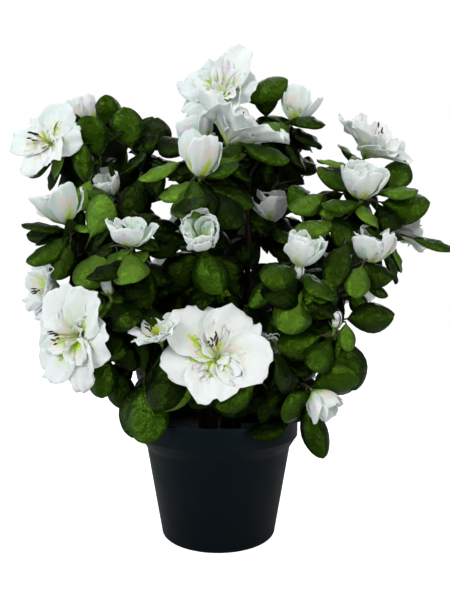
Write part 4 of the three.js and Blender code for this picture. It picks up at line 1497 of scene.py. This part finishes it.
class AZALEA_OT_filler(Operator):
    """Make the filler: a cast plug with an uneven top."""

    bl_idname = "azalea.filler"
    bl_label = "Filler"

    def execute(self, context):
        piece = turned_piece("filler_plug", filler_outline(), FILLER_SEGMENTS)
        roughen_top(piece)
        bpy.ops.object.shade_smooth()
        piece.data.materials.append(cast_filler(context.scene.azalea_colours))
        settle(piece, [FILLER_NODE])
        return {"FINISHED"}


# ---- The plant's operators

STEM_SIDES, BOUGH_SIDES = 20, 14
STEM_FLARE, BOUGH_FLARE = 0.45, 0.2


class AZALEA_OT_limbs(Operator):
    """Make the stems and the boughs, with their bark's relief, along the CAD limbs."""

    bl_idname = "azalea.limbs"
    bl_label = "Stems and boughs"

    def execute(self, context):
        sizes = context.scene.azalea_sizes
        random = np.random.default_rng((sizes.seed, LIMB_DRAWS))
        lines = limb_lines(sizes.seed)
        moulded = bark(context.scene.azalea_colours)
        stem_radii = (sizes.stem_radius, sizes.stem_tip_radius)
        bough_radii = (sizes.bough_radius, sizes.twig_radius)
        stems, boughs = Heap(), Heap()
        add_limbs(stems, STEM_NODES, lines, *stem_radii, STEM_SIDES, STEM_FLARE, random)
        add_limbs(boughs, BOUGH_NODES, lines, *bough_radii, BOUGH_SIDES, BOUGH_FLARE, random)
        settle(stems.build("stems", [moulded]), STEM_NODES)
        settle(boughs.build("boughs", [moulded]), BOUGH_NODES)
        return {"FINISHED"}


class AZALEA_OT_twigs(Operator):
    """Make the twigs that bring each shoot from its limb, and the stalks of the laid leaves."""

    bl_idname = "azalea.twigs"
    bl_label = "Twigs"

    def execute(self, context):
        sizes = context.scene.azalea_sizes
        random = np.random.default_rng((sizes.seed, TWIG_DRAWS))
        twig_radii = np.linspace(sizes.twig_radius, sizes.twig_tip_radius, TWIG_STATIONS)
        stalk_radii = np.linspace(STALK_RADIUS, STALK_TIP_RADIUS, STALK_STATIONS) * MM
        heap = Heap()
        for grown in grown_shoots(sizes.seed):
            relief = 1 + random.normal(0, TWIG_GRAIN, (TWIG_STATIONS, TWIG_SIDES))
            heap.add_tube(grown.twig, twig_radii, TWIG_SIDES, relief=relief)
        for leaf in LAID_LEAVES:
            heap.add_tube(leaf_stalk(leaf, sizes.seed), stalk_radii, STALK_SIDES)
        settle(heap.build("twigs", [green_twig(context.scene.azalea_colours)]))
        return {"FINISHED"}


class AZALEA_OT_leaves(Operator):
    """Make the leaves, one piece for each side of the plant, in place of the foliage masses."""

    bl_idname = "azalea.leaves"
    bl_label = "Leaves"

    def execute(self, context):
        sizes = context.scene.azalea_sizes
        materials = leaf_materials(context.scene.azalea_colours)
        for side, masses in SIDES.items():
            heap = Heap()
            for grown in grown_shoots(sizes.seed):
                if grown.shoot.mass in masses:
                    add_whorls(heap, grown, sizes)
            for i, leaf in enumerate(LAID_LEAVES):
                if leaf.mass in masses:
                    add_laid_leaf(heap, leaf, (sizes.seed, LAID_LEAF_DRAWS, i), sizes)
            piece = heap.build("leaves_" + side, materials)
            settle(piece, [MASS_PREFIX + mass for mass in masses])
        return {"FINISHED"}


class AZALEA_OT_blooms(Operator):
    """Make the blooms, from wide open to buds, each kind in one piece."""

    bl_idname = "azalea.blooms"
    bl_label = "Blooms"

    def execute(self, context):
        sizes = context.scene.azalea_sizes
        materials = petal_materials(context.scene.azalea_colours)
        for name, kinds in BLOOM_PIECES:
            heap = Heap()
            for grown in grown_shoots(sizes.seed):
                if grown.shoot.bloom in kinds:
                    add_petals(heap, grown, sizes)
            settle(heap.build(name, materials))
        return {"FINISHED"}


class AZALEA_OT_sepals(Operator):
    """Make the stalks and sepals under the blooms."""

    bl_idname = "azalea.sepals"
    bl_label = "Sepals"

    def execute(self, context):
        sizes = context.scene.azalea_sizes
        heap = Heap()
        for grown in grown_shoots(sizes.seed):
            if grown.shoot.bloom in BLOOMS:
                add_sepals(heap, grown, sizes)
        settle(heap.build("sepals", [sepal_green(context.scene.azalea_colours)]))
        return {"FINISHED"}


class AZALEA_OT_stamens(Operator):
    """Make the stamens of the blooms that show them."""

    bl_idname = "azalea.stamens"
    bl_label = "Stamens"

    def execute(self, context):
        sizes = context.scene.azalea_sizes
        heap = Heap()
        for grown in grown_shoots(sizes.seed):
            if grown.shoot.bloom in STAMENS:
                add_stamens(heap, grown, sizes)
        settle(heap.build("stamens", stamen_materials(context.scene.azalea_colours)))
        return {"FINISHED"}


# ---- Stage. Places and sizes are in metres, and the lights' powers in watts.

Lamp = namedtuple("Lamp", "name place size power tint", defaults=(EVEN,))
LAMPS = (
    Lamp("key", (-1.0, -1.2, 0.95), 0.8, 14),
    Lamp("fill", (1.0, -1.3, 0.6), 1.0, 11),
    Lamp("side", (-1.4, -0.3, 0.3), 0.7, 4.5, (0.72, 0.90, 1.0)),
    Lamp("top", (0.1, -0.3, 1.8), 1.2, 8),
    Lamp("back", (0.3, 1.5, 1.2), 1.6, 16),
)
CAMERA_PLACE = (0.0054, -0.469, 0.192)
CAMERA_LENS, CAMERA_SENSOR = 33.6, 36
CAMERA_NEAR, CAMERA_FAR = 0.01, 30
FLOOR_SIZE = 6
ROOM_LIGHT = 0.13
PURE_WHITE = (1, 1, 1, 1)


def area_light(lamp, target):
    """A soft square light that points from its place at a target."""
    light = bpy.data.lights.new(lamp.name, "AREA")
    light.size = lamp.size
    light.energy = lamp.power
    light.color = lamp.tint
    holder = bpy.data.objects.new(lamp.name, light)
    aim = Vector(target) - Vector(lamp.place)
    holder.location = lamp.place
    holder.rotation_euler = aim.to_track_quat("-Z", "Y").to_euler()
    bpy.context.scene.collection.objects.link(holder)


def studio_world(strength):
    """Surroundings that the camera sees as white and that light the plant with less."""
    world = bpy.data.worlds.new("studio_white")
    world.use_nodes = True
    nodes, links = world.node_tree.nodes, world.node_tree.links
    soft = nodes["Background"]
    soft.inputs["Color"].default_value = PURE_WHITE
    soft.inputs["Strength"].default_value = strength
    seen = nodes.new("ShaderNodeBackground")
    seen.inputs["Color"].default_value = PURE_WHITE
    seen.inputs["Strength"].default_value = 1.0
    path = nodes.new("ShaderNodeLightPath")
    choice = nodes.new("ShaderNodeMixShader")
    links.new(path.outputs["Is Camera Ray"], choice.inputs["Fac"])
    links.new(soft.outputs["Background"], choice.inputs[1])
    links.new(seen.outputs["Background"], choice.inputs[2])
    links.new(choice.outputs["Shader"], nodes["World Output"].inputs["Surface"])
    return world


def glow_to_camera(material, strength):
    """Lifts a stage material to white where the camera sees it, without lighting the plant."""
    nodes, links = material.node_tree.nodes, material.node_tree.links
    shader = nodes["Principled BSDF"]
    shader.inputs["Emission Color"].default_value = PURE_WHITE
    path, share = nodes.new("ShaderNodeLightPath"), nodes.new("ShaderNodeMath")
    share.operation = "MULTIPLY"
    share.inputs[1].default_value = strength
    links.new(path.outputs["Is Camera Ray"], share.inputs[0])
    links.new(share.outputs["Value"], shader.inputs["Emission Strength"])


def studio_floor(colours):
    """A wide sheet of pale paper under the pot."""
    bpy.ops.object.select_all(action="DESELECT")
    bpy.ops.mesh.primitive_plane_add(size=FLOOR_SIZE, location=(0, 0, 0))
    floor = bpy.context.object
    floor.name = "studio_floor"
    paper = floor_paper(colours)
    floor.data.materials.append(paper)
    glow_to_camera(paper, 1.0)
    return floor


def studio_camera():
    """A level camera in front of the plant."""
    lens = bpy.data.cameras.new("view")
    lens.lens = CAMERA_LENS
    lens.sensor_width = CAMERA_SENSOR
    lens.clip_start = CAMERA_NEAR
    lens.clip_end = CAMERA_FAR
    camera = bpy.data.objects.new("view", lens)
    camera.location = CAMERA_PLACE
    camera.rotation_euler = (math.radians(90), 0, 0)
    bpy.context.scene.collection.objects.link(camera)
    return camera


class AZALEA_OT_stage(Operator):
    """Set the floor, the white surroundings, the soft lights and the camera."""

    bl_idname = "azalea.stage"
    bl_label = "Stage"

    def execute(self, context):
        scene = context.scene
        floor = studio_floor(scene.azalea_colours)
        scene.world = studio_world(ROOM_LIGHT)
        low, high = CAD_BOX
        middle = (low + high) / 2
        for lamp in LAMPS:
            area_light(lamp, middle)
        scene.camera = studio_camera()
        scene.view_settings.view_transform = "Standard"
        return {"FINISHED"}


class AZALEA_PT_panel(Panel):
    """Sizes, colours and pieces of the plant."""

    bl_idname = "AZALEA_PT_panel"
    bl_label = "Potted Azalea"
    bl_space_type = "VIEW_3D"
    bl_region_type = "UI"
    bl_category = "Azalea"

    def draw(self, context):
        for settings in (context.scene.azalea_sizes, context.scene.azalea_colours):
            column = self.layout.column(align=True)
            for name in settings.__annotations__:
                column.prop(settings, name)
        for operator in OPERATORS:
            self.layout.operator(operator.bl_idname)


OPERATORS = (
    AZALEA_OT_pot,
    AZALEA_OT_filler,
    AZALEA_OT_limbs,
    AZALEA_OT_twigs,
    AZALEA_OT_leaves,
    AZALEA_OT_blooms,
    AZALEA_OT_sepals,
    AZALEA_OT_stamens,
    AZALEA_OT_stage,
)
CLASSES = (AzaleaSizes, AzaleaColours, *OPERATORS, AZALEA_PT_panel)


def register():
    """Adds the classes and the settings."""
    for cls in CLASSES:
        bpy.utils.register_class(cls)
    bpy.types.Scene.azalea_sizes = PointerProperty(type=AzaleaSizes)
    bpy.types.Scene.azalea_colours = PointerProperty(type=AzaleaColours)


def unregister():
    """Takes the settings and the classes away."""
    del bpy.types.Scene.azalea_colours
    del bpy.types.Scene.azalea_sizes
    for cls in reversed(CLASSES):
        bpy.utils.unregister_class(cls)


def main():
    """Makes every piece and the stage."""
    register()
    for operator in OPERATORS:
        getattr(bpy.ops.azalea, operator.bl_idname.split(".")[1])()


if __name__ == "__main__":
    main()
